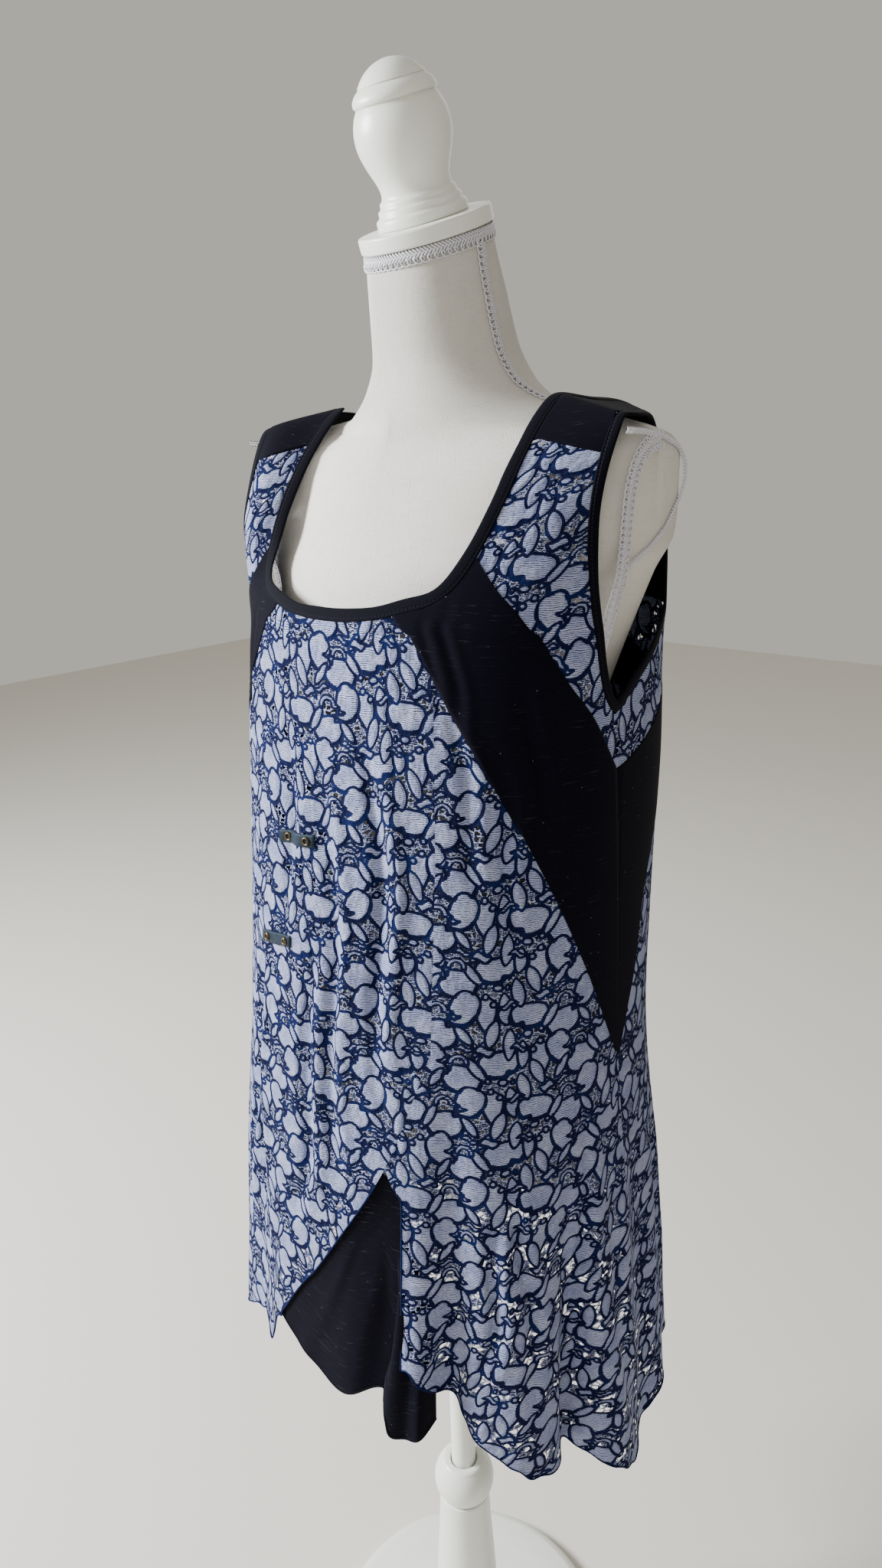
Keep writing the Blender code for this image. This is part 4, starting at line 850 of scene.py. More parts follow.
class Looks:
    """One material's nodes. Each call adds a node, sets it and links its inputs."""

    def __init__(self, name):
        self.material = bpy.data.materials.new(name)
        self.material.use_nodes = True
        self.tree = self.material.node_tree
        self.shader = self.tree.nodes["Principled BSDF"]

    def add(self, kind, inputs=None, output=0, **settings):
        """Add a node. An input is a value, or the output of another node."""
        made = self.tree.nodes.new("ShaderNode" + kind)
        for key, value in settings.items():
            setattr(made, key, value)
        for key, value in (inputs or {}).items():
            self.put(made.inputs[key], value)
        return made.outputs[output]

    def put(self, socket, value):
        """Set a socket to a value or a colour code, or link it to an output."""
        if isinstance(value, str):
            value = linear(value)
        if isinstance(value, bpy.types.NodeSocket):
            self.tree.links.new(value, socket)
        else:
            socket.default_value = value

    def math(self, operation, first, second=0.0, third=0.0):
        """A math node."""
        return self.add("Math", {0: first, 1: second, 2: third}, operation=operation)

    def times(self, first, second):
        """One value multiplied by another."""
        return self.math("MULTIPLY", first, second)

    def plus(self, first, second):
        """One value added to another."""
        return self.math("ADD", first, second)

    def scaled(self, value, by, plus):
        """A value multiplied, then added to."""
        return self.math("MULTIPLY_ADD", value, by, plus)

    def rest(self, share):
        """What a share leaves of 1."""
        return self.math("SUBTRACT", 1.0, share)

    def step(self, value, low, high):
        """Ease a value from 0 at low to 1 at high."""
        return self.add("MapRange", {"Value": value, 1: low, 2: high}, interpolation_type="SMOOTHSTEP")

    def mix(self, share, first, second):
        """Mix two colours."""
        made = self.tree.nodes.new("ShaderNodeMix")
        made.data_type = "RGBA"
        self.put(made.inputs[0], share)
        self.put(made.inputs[6], first)
        self.put(made.inputs[7], second)
        return made.outputs[2]

    def noise(self, vector, scale, detail=2.0, roughness=0.5):
        """A noise value from 0 to 1."""
        inputs = {"Vector": vector, "Scale": scale, "Detail": detail, "Roughness": roughness}
        return self.add("TexNoise", inputs)

    def stretched(self, vector, x, y, z=1.0):
        """Coordinates multiplied along each axis."""
        return self.add("VectorMath", {0: vector, 1: (x, y, z)}, operation="MULTIPLY")

    def attribute(self, name):
        """A value that the mesh carries on its points."""
        return self.add("Attribute", attribute_name=name, output=2)

    def millimetres(self):
        """Flat coordinates of the cloth, in millimetres."""
        return self.stretched(self.add("UVMap", uv_map="cloth"), MM, MM)

    def on_object(self):
        """Coordinates of the object itself, in metres."""
        return self.add("TexCoord", output=3)

    def parts(self, vector):
        """The x, y and z of a vector."""
        made = self.tree.nodes.new("ShaderNodeSeparateXYZ")
        self.put(made.inputs[0], vector)
        return made.outputs

    def bump(self, height, distance, strength=1.0):
        """Raise the surface by a height."""
        return self.add("Bump", {"Height": height, "Distance": distance, "Strength": strength})

    def finish(self, **values):
        """Set the shader's own sockets by name."""
        for key, value in values.items():
            self.put(self.shader.inputs[key.replace("_", " ")], value)
        return self.material


def lace_looks():
    """Knitted lace: matte off-white ribs with dark flecks between them, outlined by navy chenille cord."""
    look = Looks("lace_knit")
    place = look.millimetres()
    parts = look.parts(place)
    fuzz = look.noise(place, 1.3, 2.5, 0.6)
    # The knit's ribs lie across the cloth, 1.4 mm apart, and wander a little.
    wander = look.times(look.noise(look.stretched(place, 0.07, 0.10), 1.0, 1.0), 4.0)
    row = look.times(look.plus(parts[1], wander), math.tau / 1.42)
    rib = look.scaled(look.math("SINE", row), 0.5, 0.5)
    flecks = look.noise(look.stretched(place, 0.30, 1.0), 1.0, 2.5, 0.65)
    dark = look.times(look.step(rib, 0.56, 0.22), look.scaled(look.step(flecks, 0.34, 0.56), 0.6, 0.4))
    shade = look.noise(look.stretched(place, 0.045, 0.06), 1.0, 2.0)
    pale = look.mix(look.step(shade, 0.3, 0.7), "#929CC8", "#B2B9DA")
    # Painted highlights: the pale ribs are lightened in flecks where the yarn's fuzz stands up.
    pale = look.mix(look.times(look.step(fuzz, 0.45, 0.75), 0.45), pale, "#E2E3E8")
    knit = look.mix(look.times(dark, 0.95), pale, "#232944")
    # Between the motifs the ground is a thin uneven net of the same yarn with small open gaps.
    drift = look.add("TexNoise", {"Vector": place, "Scale": 0.30, "Detail": 2.0}, output=1)
    drifting = look.add("VectorMath", {0: place, 1: look.stretched(drift, 4.2, 4.2)}, operation="ADD")
    net = look.stretched(drifting, 1.0, 1.2)
    near_bar = look.add("TexVoronoi", {"Vector": net, "Scale": 0.200, "Randomness": 0.95},
                        voronoi_dimensions="2D", feature="DISTANCE_TO_EDGE")
    cell = look.add("TexVoronoi", {"Vector": net, "Scale": 0.200, "Randomness": 0.95}, output=1,
                    voronoi_dimensions="2D", feature="F1")
    cell_share = look.add("SeparateColor", {0: cell})
    open_cell = look.math("GREATER_THAN", cell_share, 0.62)
    inner = look.step(near_bar, 0.12, 0.16)
    rim = look.times(look.step(near_bar, 0.07, 0.10), 0.8)
    thread = look.step(look.plus(look.times(dark, -0.5), fuzz), 0.46, 0.58)
    filled = look.mix(thread, "#0A0E28", pale)
    barred = look.mix(look.step(flecks, 0.50, 0.42), pale, "#0A1648")
    barred = look.mix(rim, barred, "#0A1440")
    ground = look.mix(inner, barred, filled)
    # Each layer's motifs cover what lies under them, and each has its cord along its outline.
    width = look.times(look.attribute("cord"), look.scaled(fuzz, 1.1, 0.78))
    cord, inside, pillow = None, None, None
    for layer in range(1, LAYERS + 1):
        distance = look.attribute("layer_%d" % layer)
        ratio = look.math("DIVIDE", look.math("ABSOLUTE", distance), width)
        here = look.step(ratio, 1.14, 0.90)
        within = look.step(distance, 0.15, -0.35)
        swell = look.step(distance, 0.0, -4.0)
        if cord is None:
            cord, inside, pillow = here, within, swell
        else:
            pillow = look.math("MAXIMUM", swell, look.times(pillow, look.rest(within)))
            kept = look.times(cord, look.rest(within))
            cord = look.math("MAXIMUM", kept, here)
            inside = look.math("MAXIMUM", inside, within)
    stitches = look.noise(place, 1.05, 1.0)
    cord_colour = look.mix(look.step(stitches, 0.30, 0.72), "#04061B", "#0B1546")
    cord_colour = look.mix(look.times(look.step(shade, 0.46, 0.68), 0.4), cord_colour, "#142762")
    # Painted shade: the knit of each motif is darkened towards its cord, where the puffed cloth curves in.
    edge_shade = look.scaled(pillow, -0.42, 0.42)
    knit = look.mix(edge_shade, knit, "#55608C")
    colour = look.mix(cord, look.mix(inside, ground, knit), cord_colour)
    outside = look.times(look.rest(inside), look.rest(cord))
    gap = look.times(look.times(inner, open_cell), outside)
    alpha = look.rest(look.math("GREATER_THAN", gap, 0.5))
    height = look.plus(look.times(cord, 0.8), look.times(rib, 0.25))
    pucker = look.noise(look.stretched(place, 0.11, 0.07), 1.0, 2.0)
    height = look.plus(height, look.scaled(fuzz, 0.35, look.times(inside, 0.5)))
    height = look.plus(height, look.scaled(pillow, 0.9, look.times(pucker, 2.6)))
    normal = look.bump(height, 0.0011, 1.0)
    return look.finish(Base_Color=colour, Alpha=alpha, Normal=normal, Roughness=0.92, Sheen_Weight=0.0,
                       Specular_IOR_Level=0.10)


def jersey_looks(name, slub_and_light_streaks):
    """Fine cotton jersey, nearly black and matte, with a few pale specks and thin pale streaks: partly slubs
    in the yarn, partly painted light showing through the thin knit.
    """
    look = Looks(name)
    place = look.millimetres()
    slubs = look.noise(look.stretched(place, 0.045, 0.85), 1.0, 3.0, 0.6)
    weave = look.noise(look.stretched(place, 1.4, 0.9), 1.0, 2.0)
    patches = look.noise(look.stretched(place, 0.012, 0.018), 1.0, 2.0)
    colour = look.mix(look.step(weave, 0.25, 0.8), "#030309", "#080718")
    # Pale streaks: partly the yarn's slubs, partly painted light showing through the thin knit; the last
    # argument sets how strong they are.
    lying = look.times(look.step(slubs, 0.60, 0.76), look.scaled(look.step(patches, 0.42, 0.62), 0.8, 0.2))
    colour = look.mix(look.times(lying, slub_and_light_streaks), colour, "#585B68")
    colour = look.mix(look.times(look.step(patches, 0.45, 0.75), 0.25), colour, "#080810")
    lint = look.add("TexVoronoi", {"Vector": place, "Scale": 0.035}, voronoi_dimensions="2D", feature="F1")
    few = look.step(look.noise(look.stretched(place, 0.03, 0.03), 1.0, 1.0), 0.50, 0.58)
    speck = look.times(look.step(lint, 0.016, 0.007), few)
    colour = look.mix(look.times(speck, 0.7), colour, "#8C8C98")
    height = look.plus(look.times(slubs, 0.5), look.times(weave, 0.35))
    normal = look.bump(height, 0.0005, 0.7)
    return look.finish(Base_Color=colour, Normal=normal, Roughness=0.92, Sheen_Weight=0.012,
                       Sheen_Roughness=0.45, Specular_IOR_Level=0.08)


def binding_looks():
    """Folded jersey binding: black-navy, slightly ribbed along its length, a row of stitches sunk in it."""
    look = Looks("binding_knit")
    place = look.millimetres()
    parts = look.parts(place)
    along, over = parts[0], parts[1]
    ribs = look.math("SINE", look.times(along, math.tau / 1.3))
    stitch_line = look.step(look.math("ABSOLUTE", look.math("SUBTRACT", over, 2.6)), 0.55, 0.25)
    dashes = look.step(look.math("SINE", look.times(along, math.tau / 3.2)), -0.35, 0.05)
    stitch = look.times(stitch_line, dashes)
    colour = look.mix(look.step(look.noise(place, 0.7, 2.0), 0.3, 0.8), "#04040B", "#080816")
    colour = look.mix(look.times(stitch, 0.8), colour, "#1C1D2C")
    height = look.plus(look.times(ribs, 0.035), look.times(stitch_line, -0.5))
    height = look.plus(height, look.times(stitch, 0.4))
    return look.finish(Base_Color=colour, Normal=look.bump(height, 0.0006, 0.8), Roughness=0.9,
                       Sheen_Weight=0.01, Specular_IOR_Level=0.10)


def yarn_looks(name, scale, top, low, high, bump, **values):
    """Yarn without a weave of its own: two shades in a fine fuzz."""
    look = Looks(name)
    place = look.on_object()
    fuzz = look.noise(place, scale, 2.0)
    colour = look.mix(look.step(fuzz, 0.3, top), low, high)
    return look.finish(Base_Color=colour, Normal=look.bump(fuzz, *bump), **values)


def linen_looks():
    """Unbleached linen stretched over padding: plain weave with uneven threads, matte."""
    look = Looks("linen_weave")
    place = look.millimetres()
    parts = look.parts(place)
    warp = look.math("SINE", look.times(parts[0], math.tau / 0.9))
    weft = look.math("SINE", look.times(parts[1], math.tau / 0.9))
    threads = look.times(warp, weft)
    slub_up = look.noise(look.stretched(place, 1.1, 0.05), 1.0, 2.0)
    slub_across = look.noise(look.stretched(place, 0.05, 1.1), 1.0, 2.0)
    slubs = look.math("MAXIMUM", look.step(slub_up, 0.55, 0.8), look.step(slub_across, 0.55, 0.8))
    clouds = look.noise(look.stretched(place, 0.012, 0.012), 1.0, 3.0)
    colour = look.mix(look.step(clouds, 0.3, 0.7), "#E5E0D7", "#EDE9E2")
    colour = look.mix(look.times(slubs, 0.35), colour, "#D2CCC0")
    colour = look.mix(look.times(look.step(threads, 0.0, 0.9), 0.18), colour, "#F6F3EC")
    grain = look.noise(look.stretched(place, 0.7, 0.45), 1.0, 3.0, 0.65)
    height = look.plus(look.times(threads, 0.28), look.times(slubs, 0.6))
    height = look.scaled(grain, 1.3, height)
    return look.finish(Base_Color=colour, Normal=look.bump(height, 0.0006, 0.9), Roughness=0.9,
                       Sheen_Weight=0.08, Specular_IOR_Level=0.25)


def paint_looks():
    """White satin paint brushed over turned wood, faintly uneven, and a little darker and warmer in its
    grooves.
    """
    look = Looks("satin_paint")
    place = look.on_object()
    brush = look.noise(look.stretched(place, 60.0, 60.0, 420.0), 1.0, 3.0)
    orange_peel = look.noise(place, 260.0, 2.0)
    grooves = look.add("NewGeometry", output=7)
    colour = look.mix(look.step(grooves, 0.50, 0.42), "#E9EAE2", "#CFCDBF")
    colour = look.mix(look.times(look.step(brush, 0.4, 0.7), 0.25), colour, "#DFE2D8")
    rough = look.add("MapRange", {"Value": brush, 3: 0.30, 4: 0.44})
    height = look.plus(look.times(brush, 0.5), look.times(orange_peel, 0.5))
    return look.finish(Base_Color=colour, Roughness=rough, Normal=look.bump(height, 0.0003, 0.35),
                       IOR=1.48, Coat_Weight=0.15, Coat_Roughness=0.25)


def leather_looks():
    """Thin dyed leather, blue-black, with fine grain and paler worn edges."""
    look = Looks("tab_leather")
    place = look.on_object()
    grain = look.add("TexVoronoi", {"Vector": place, "Scale": 1300.0}, feature="DISTANCE_TO_EDGE")
    blotch = look.noise(place, 160.0, 3.0)
    worn = look.step(look.add("NewGeometry", output=7), 0.52, 0.60)
    colour = look.mix(look.step(blotch, 0.3, 0.7), "#0A1722", "#132839")
    colour = look.mix(look.times(worn, 0.4), colour, "#2A4454")
    return look.finish(Base_Color=colour, Roughness=0.62, Normal=look.bump(grain, 0.0003, 0.5),
                       Specular_IOR_Level=0.2)


def brass_looks():
    """Aged brass eyelet: satin, darker where it has tarnished."""
    look = Looks("eyelet_brass")
    place = look.on_object()
    tarnish = look.noise(place, 700.0, 3.0)
    colour = look.mix(look.step(tarnish, 0.35, 0.7), "#6E6048", "#2E2820")
    rough = look.add("MapRange", {"Value": tarnish, 3: 0.28, 4: 0.5})
    return look.finish(Base_Color=colour, Metallic=1.0, Roughness=rough)


def hole_shade_looks():
    """Painted shade: a dark disc for the shadowed inside of an eyelet."""
    look = Looks("eyelet_hole_shade")
    return look.finish(Base_Color="#0C0E12", Roughness=0.9)


LACE = lace_looks()
# The inset is a single thin layer, so its streaks carry much more painted light showing through.
JERSEY = jersey_looks("jersey_knit", 0.30)
INSET_JERSEY = jersey_looks("inset_jersey_knit", 0.85)
BINDING = binding_looks()
# Navy chenille cord along the lace's raw edges.
EDGE_CORD = yarn_looks("edge_cord", 900.0, 0.75, "#070B22", "#14265C", (0.0005, 0.8), Roughness=0.92,
                       Specular_IOR_Level=0.1)
LINEN = linen_looks()
# Rayon gimp braid, off-white with a silky sheen.
BRAID = yarn_looks("gimp_braid", 1400.0, 0.7, "#BDBCC6", "#E2E1E6", (0.0003, 0.6), Roughness=0.5,
                   Sheen_Weight=0.15, Specular_IOR_Level=0.45)
PAINT = paint_looks()
LEATHER = leather_looks()
BRASS = brass_looks()
EYELET_HOLE_SHADE = hole_shade_looks()


# ---------------------------------------------------------------- the garment's panels

LEAST_RADIUS = 0.165
JERSEY_STEP = 0.0035
FRAY = 0.0022
FRAY_REACH = 0.03
CORD_STEP = 0.0012
CORD_RADIUS = 0.0008
INSET_RADIUS = 0.205


def panel_grid(left, right, low, high, across_step, up_step):
    """Angles and levels of a panel between two edges."""
    probe = np.linspace(low, high, 60)
    widths = np.linalg.norm(cloth(left(probe), probe) - cloth(right(probe), probe), axis=1)
    turns = np.abs(right(probe) - left(probe))
    reach = np.max(np.maximum(widths, np.radians(turns) * LEAST_RADIUS))
    columns = max(int(reach / across_step) + 1, 6)
    middle = 0.5 * (left(probe) + right(probe))
    climb = np.sum(np.linalg.norm(np.diff(cloth(middle, probe), axis=0), axis=1))
    rows = max(int(climb / up_step) + 1, 6)
    levels = np.linspace(low, high, rows)
    share = np.linspace(0.0, 1.0, columns)
    start = left(levels)[:, None]
    end = right(levels)[:, None]
    return start + (end - start) * share[None, :], np.repeat(levels[:, None], columns, axis=1)


def add_lace(name, left, right, low, high, place, lean, across_step=0.0017, up_step=0.0016):
    """A lace panel, with the chart's distances on its points."""
    angle, level = panel_grid(left, right, low, high, across_step, up_step)
    points = cloth(angle, level)
    flat = flat_place(angle, level)
    if low <= SKIRT_LOW:
        low_share = smooth((SKIRT_LOW + FRAY_REACH - level) / FRAY_REACH)
        points[..., 2] += FRAY * ripple(flat[..., 0] * 3.1, flat[..., 0] * 1.3, 2.2) * low_share
    piece = add_grid(name, points, flat=flat, **read_chart(flat, place, lean))
    return dress(piece, LACE, name, slot="lace"), points


def add_jersey(name, left, right, low, high):
    """A jersey panel with real thickness."""
    angle, level = panel_grid(left, right, low, high, JERSEY_STEP, JERSEY_STEP)
    piece = add_grid(name, cloth(angle, level), flat=flat_place(angle, level))
    thicken(piece)
    return dress(piece, JERSEY, name, slot="jersey")


def thicken(piece):
    """Give a jersey sheet its thickness, half of it to each side."""
    solid = piece.modifiers.new("thickness", "SOLIDIFY")
    solid.thickness = JERSEY_THICK
    solid.offset = 0.0


def sided(edge, middle, hand):
    """An edge as an angle round the body: from an angle off the centre front or the centre back."""
    if middle == "front":
        return edge if hand == "left" else lambda level: -edge(level)
    return (lambda level: 180.0 - edge(level)) if hand == "left" else lambda level: 180.0 + edge(level)


def build_laces():
    """The three large lace panels, and cord along the raw edges of the skirt."""
    front_lower = SEAMS["front_lower"]
    back_lower = SEAMS["back_lower"]
    right_end = lambda level: np.minimum(slit_angle(level), front_lower(level))
    made = {}
    made["right"] = add_lace("front_lace_right", sided(front_lower, "front", "right"), right_end,
                             SKIRT_LOW, NECK_LOW, (0.0531, -0.1185), (-0.125, 0.04), 0.00178, 0.00162)
    made["left"] = add_lace("front_lace_left", upright_angle, front_lower, SKIRT_LOW, LONG_SEAM_TOP,
                            (0.1613, -0.2720), (-0.06, 0.02))
    back_edges = [sided(back_lower, "back", hand) for hand, _ in HANDS]
    made["back"] = add_lace("back_lace", *back_edges, SKIRT_LOW, BACK_BAND_LOWER[-1][0],
                            (0.030, 0.012), (0.03, 0.0), 0.0025, 0.0023)
    for key, (piece, points) in made.items():
        # The cord of a front panel also climbs the free edge beside the slit.
        line = points[0]
        if key == "right":
            line = np.concatenate([line, points[1:int(0.44 * len(points)), -1]])
        if key == "left":
            line = np.concatenate([points[1:int(0.46 * len(points)), 0][::-1], line])
        path = spaced(line, CORD_STEP)
        wave = ripple(np.arange(len(path)) * 0.004, np.arange(len(path)) * 0.009, 3.0)
        tube = tube_points(rounded(path, 2), CORD_RADIUS + 0.0002 * wave)
        cord = dress(merge_grids("hem_cord_" + key, [(tube, False)]), EDGE_CORD, slot="lace")


def build_bands_and_yokes():
    """Slanted jersey bands and the lace yokes above them, on all four quarters."""
    for face in ("front", "back"):
        for hand in ("left", "right"):
            lower = SEAMS[face + "_lower"]
            upper = SEAMS[face + "_upper"]
            armhole = SEAMS["armhole_" + face]
            top = BAND_TOP if face == "front" else BACK_BAND_UPPER[-1][0]
            yoke_top = YOKE_TOP if face == "front" else top
            neck = SEAMS["neck_front"]
            if face == "front":
                inner = lambda level, low=lower: np.where(level < NECK_LOW, low(level), neck(level))
                seam = lambda level, up=upper: np.where(level < BAND_TOP, up(level), neck(level))
            else:
                inner, seam = lower, upper
            edges = [sided(edge, face, hand) for edge in (inner, seam, armhole)]
            mirrored = (face == "front") == (hand == "right")
            band_edges = (edges[1], edges[0]) if mirrored else (edges[0], edges[1])
            yoke_edges = (edges[2], edges[1]) if mirrored else (edges[1], edges[2])
            name = face + "_band_" + hand
            piece = add_jersey(name, *band_edges, BAND_FOOT, top)
            name = face + "_yoke_" + hand
            place = (0.018, 0.074) if hand == "left" else (0.061, 0.020)
            piece, _ = add_lace(name, *yoke_edges, YOKE_FOOT, yoke_top, place, (0.0, 0.0), 0.0016)


def over_ridge(opening, side):
    """The edge of an opening on one side, up its front and on over the ridge down its back."""
    front, back = SEAMS[opening + "_front"], SEAMS[opening + "_back"]
    return lambda level: side * np.where(level <= RIDGE, front(level), back(2 * RIDGE - level))


def build_upper_back():
    """The jersey over the shoulders and across the shoulder blades."""
    for hand, side in HANDS:
        edges = [over_ridge("neck", side), over_ridge("armhole", side)]
        if hand == "right":
            edges.reverse()
        piece = add_jersey("shoulder_" + hand, *edges, YOKE_TOP, 2.0 * RIDGE - NAPE)
    edges = [sided(SEAMS["armhole_back"], "back", hand) for hand, _ in HANDS]
    piece = add_jersey("back_top", *edges, BACK_BAND_TOP, NAPE)


def build_inset():
    """The jersey inset of the slit. Its right part is doubled forward into one rounded upright fold."""
    rows = 84
    columns = 74
    share = np.linspace(0.0, 1.0, columns)[None, :]
    levels = np.linspace(SKIRT_LOW, INSET_TOP, rows)[:, None]
    start = slit_angle(levels[:, 0], INSET_HEM)[:, None] - 1.2
    end = SLIT_UPRIGHT + 9.5 * smooth((SLIT_APEX - levels) / 0.22)
    # Where the fold turns back on itself, and how much of the fold there is at each level.
    full = smooth((SLIT_APEX - 0.10 - levels) / 0.12)
    turn_in = smooth((share - 0.67) / 0.04) - smooth((share - 0.72) / 0.06)
    angle = start + (end - start) * share - 1.2 * full * turn_in
    near, far = 0.0026, 0.0060
    behind = near + (far - near) * smooth((angle - start) / 9.0)
    swell = smooth((share - 0.69) / 0.04) * (1.0 - smooth((share - 0.74) / 0.06))
    hollow = smooth((share - 0.48) / 0.16) * (1.0 - smooth((share - 0.69) / 0.04))
    behind = behind + full * (0.0035 * hollow - 0.0075 * swell)
    behind = behind - 0.0016 * full * np.exp(-((share - 0.90) / 0.04) ** 2)
    behind = behind - 0.0022 * full * np.exp(-((share - 0.20 - 0.05 * (levels - 0.6)) / 0.05) ** 2)
    angle, level, behind = np.broadcast_arrays(angle, levels, behind)
    points = cloth(angle, level, INSET_HEM) - cloth_normal(angle, level, INSET_HEM) * behind[..., None]
    flat = np.stack([np.radians(angle) * INSET_RADIUS, level], axis=-1)
    piece = add_grid("front_inset", points, flat=flat)
    thicken(piece)
    dress(piece, INSET_JERSEY, "front_inset", slot="jersey")
    roll = tube_points(rounded(spaced(points[0], 0.002), 2), 0.0013, 8)
    hem = dress(merge_grids("inset_hem", [(roll, False)]), BINDING, slot="jersey")


def bind(name, track, middle, width=BINDING_WIDTH):
    """Bind an opening: a folded strip over its edge, reaching in towards the opening's middle."""
    track = np.array(track)
    path = cloth(track[:, 0], track[:, 1])
    normals = cloth_normal(track[:, 0], track[:, 1])
    both = spaced(np.concatenate([path, normals], axis=1), BINDING_STEP, closed=True)
    both = rounded(both, 6, closed=True)
    path, normals = both[:, :3], unit(both[:, 3:])
    sides = unit(np.cross(normals, along_path(path, True)))
    sides *= np.sign(np.sum(sides * (np.array(middle) - path), axis=1))[:, None]
    sides = unit(rounded(sides, 4, closed=True))
    reach = width + BINDING_LAP
    outline = np.array([
        (share * reach - BINDING_LAP, lift * 0.5 * BINDING_THICK) for share, lift in BINDING_LINE
    ])
    wobble = 1.0 + 0.05 * ripple(np.arange(len(path)) * 0.003, np.arange(len(path)) * 0.001, 1.0)
    points = (
        path[:, None, :]
        + sides[:, None, :] * outline[None, :, 0:1] * wobble[:, None, None]
        + normals[:, None, :] * outline[None, :, 1:2]
    )
    count = len(path)
    looped = np.concatenate([points, points[:1]])
    looped = np.concatenate([looped, looped[:, :1]], axis=1)
    flat = np.stack(np.broadcast_arrays(
        (np.arange(count + 1) * BINDING_STEP)[:, None],
        np.concatenate([outline[:, 0] + BINDING_LAP, outline[:1, 0] + BINDING_LAP])[None, :]), axis=-1)
    piece = add_grid(name, looped, flat=flat)
    weld(piece)
    return dress(piece, BINDING, name, slot="binding"), count * BINDING_STEP


def weld(piece):
    """Join the points that lie on each other."""
    joined = piece.modifiers.new("join", "WELD")
    joined.merge_threshold = 0.00002


def build_bindings():
    """Bindings round the neck and both armholes."""
    levels = np.linspace(NECK_LOW, RIDGE, 60)
    front = [(float(SEAMS["neck_front"](level)), level) for level in levels]
    back_levels = np.linspace(RIDGE, NAPE, 50)[1:]
    back = [(float(SEAMS["neck_back"](level)), 2.0 * RIDGE - level) for level in back_levels]
    bottom = [(angle, NECK_LOW) for angle in np.arange(0.0, 20.0, 3.0)]
    nape = [(angle, 2.0 * RIDGE - NAPE) for angle in (6.0, 4.0, 2.0, 0.0)]
    half = bottom + front + back + nape
    other = [(-angle, level) for angle, level in reversed(half[1:-1])]
    piece, length = bind("neck_binding", half + other, (0.0, 0.0, 1.42))
    levels = np.linspace(ARMHOLE_FRONT[0][0], RIDGE, 50)
    front = [(float(SEAMS["armhole_front"](level)), level) for level in levels]
    back = [(float(SEAMS["armhole_back"](level)), 2.0 * RIDGE - level) for level in levels[::-1][1:-1]]
    for hand, side in HANDS:
        track = [(side * angle, level) for angle, level in front + back]
        piece, length = bind("armhole_binding_" + hand, track, (side * 0.20, 0.01, 1.33), ARMHOLE_BINDING)


def build_tabs():
    """Small leather tabs on the right front lace, each with two brass eyelets."""
    for name, middle, height, rise in TABS:
        round_body = np.linalg.norm(cloth(middle + 0.5, height) - cloth(middle - 0.5, height))
        columns, rows = 40, 14
        across = np.linspace(-0.5, 0.5, columns)[None, :]
        up = np.linspace(-0.5, 0.5, rows)[:, None]
        corner = np.clip((np.abs(across) - 0.47) / 0.03, 0.0, 1.0)
        squeeze = 1.0 - 0.16 * corner ** 2
        along = across * TAB_LENGTH - TAB_SHIFT
        angle = middle + along / round_body + 0.0 * up
        level = height + along * rise / TAB_LENGTH + up * TAB_HEIGHT * squeeze
        edge = np.minimum(smooth((0.5 - np.abs(across)) / 0.03), smooth((0.5 - np.abs(up)) / 0.10))
        lift = TAB_LIFT + TAB_THICK * (0.35 + 0.65 * edge) + 0.0004 * np.sin(across * 9.0 + height * 7.0)
        top = cloth(angle, level) + cloth_normal(angle, level) * lift[..., None]
        low = cloth(angle, level) + cloth_normal(angle, level) * (TAB_LIFT - 0.0004)
        points = np.concatenate([low[:1], top, low[-1:]])
        points = np.concatenate([low_edge(points, low, 0), points, low_edge(points, low, -1)], axis=1)
        piece = add_grid(name, points)
        dress(piece, LEATHER, name, slot="leather")
        for number, share in ((1, -0.5), (2, 0.5)):
            place = middle + share * EYELET_SPACING / round_body
            up_by = height + share * rise * EYELET_SPACING / TAB_LENGTH
            spot = Vector(cloth(place, up_by))
            normal = Vector(cloth_normal(place, up_by))
            add_eyelet(name.replace("tab", "eyelet") + "_%d" % number, spot, normal)


def low_edge(points, low, column):
    """The short edge of a tab, turned down to the cloth."""
    line = points[:, column:column + 1] if column == 0 else points[:, -1:]
    turned = line.copy()
    turned[1:-1] = low[:, :1] if column == 0 else low[:, -1:]
    return turned


def add_eyelet(name, spot, normal):
    """A rolled brass ring, with a dark disc of painted shade across its hole."""
    lift = TAB_LIFT + TAB_THICK + 0.0001
    turns = np.linspace(0.0, math.tau, 40, endpoint=False)
    points = np.array([[(radius * math.cos(turn), radius * math.sin(turn), height) for turn in turns]
                       for radius, height in EYELET_LINE])
    place = Matrix.Translation(spot + normal * lift) @ normal.to_track_quat("Z", "Y").to_matrix().to_4x4()
    flat = [place @ Vector(point) for point in points.reshape(-1, 3)]
    ring = add_grid(name, np.array(flat).reshape(points.shape), closed=True)
    dress(ring, BRASS, name, slot="brass")
    radius = EYELET_HOLE_RADIUS
    inner = [place @ Vector((radius * math.cos(turn), radius * math.sin(turn), 0.0001)) for turn in turns]
    hole = add_mesh(name + "_hole_shade", inner, [tuple(range(len(inner)))])
    dress(hole, EYELET_HOLE_SHADE, slot="leather")


# ---------------------------------------------------------------- the dress form

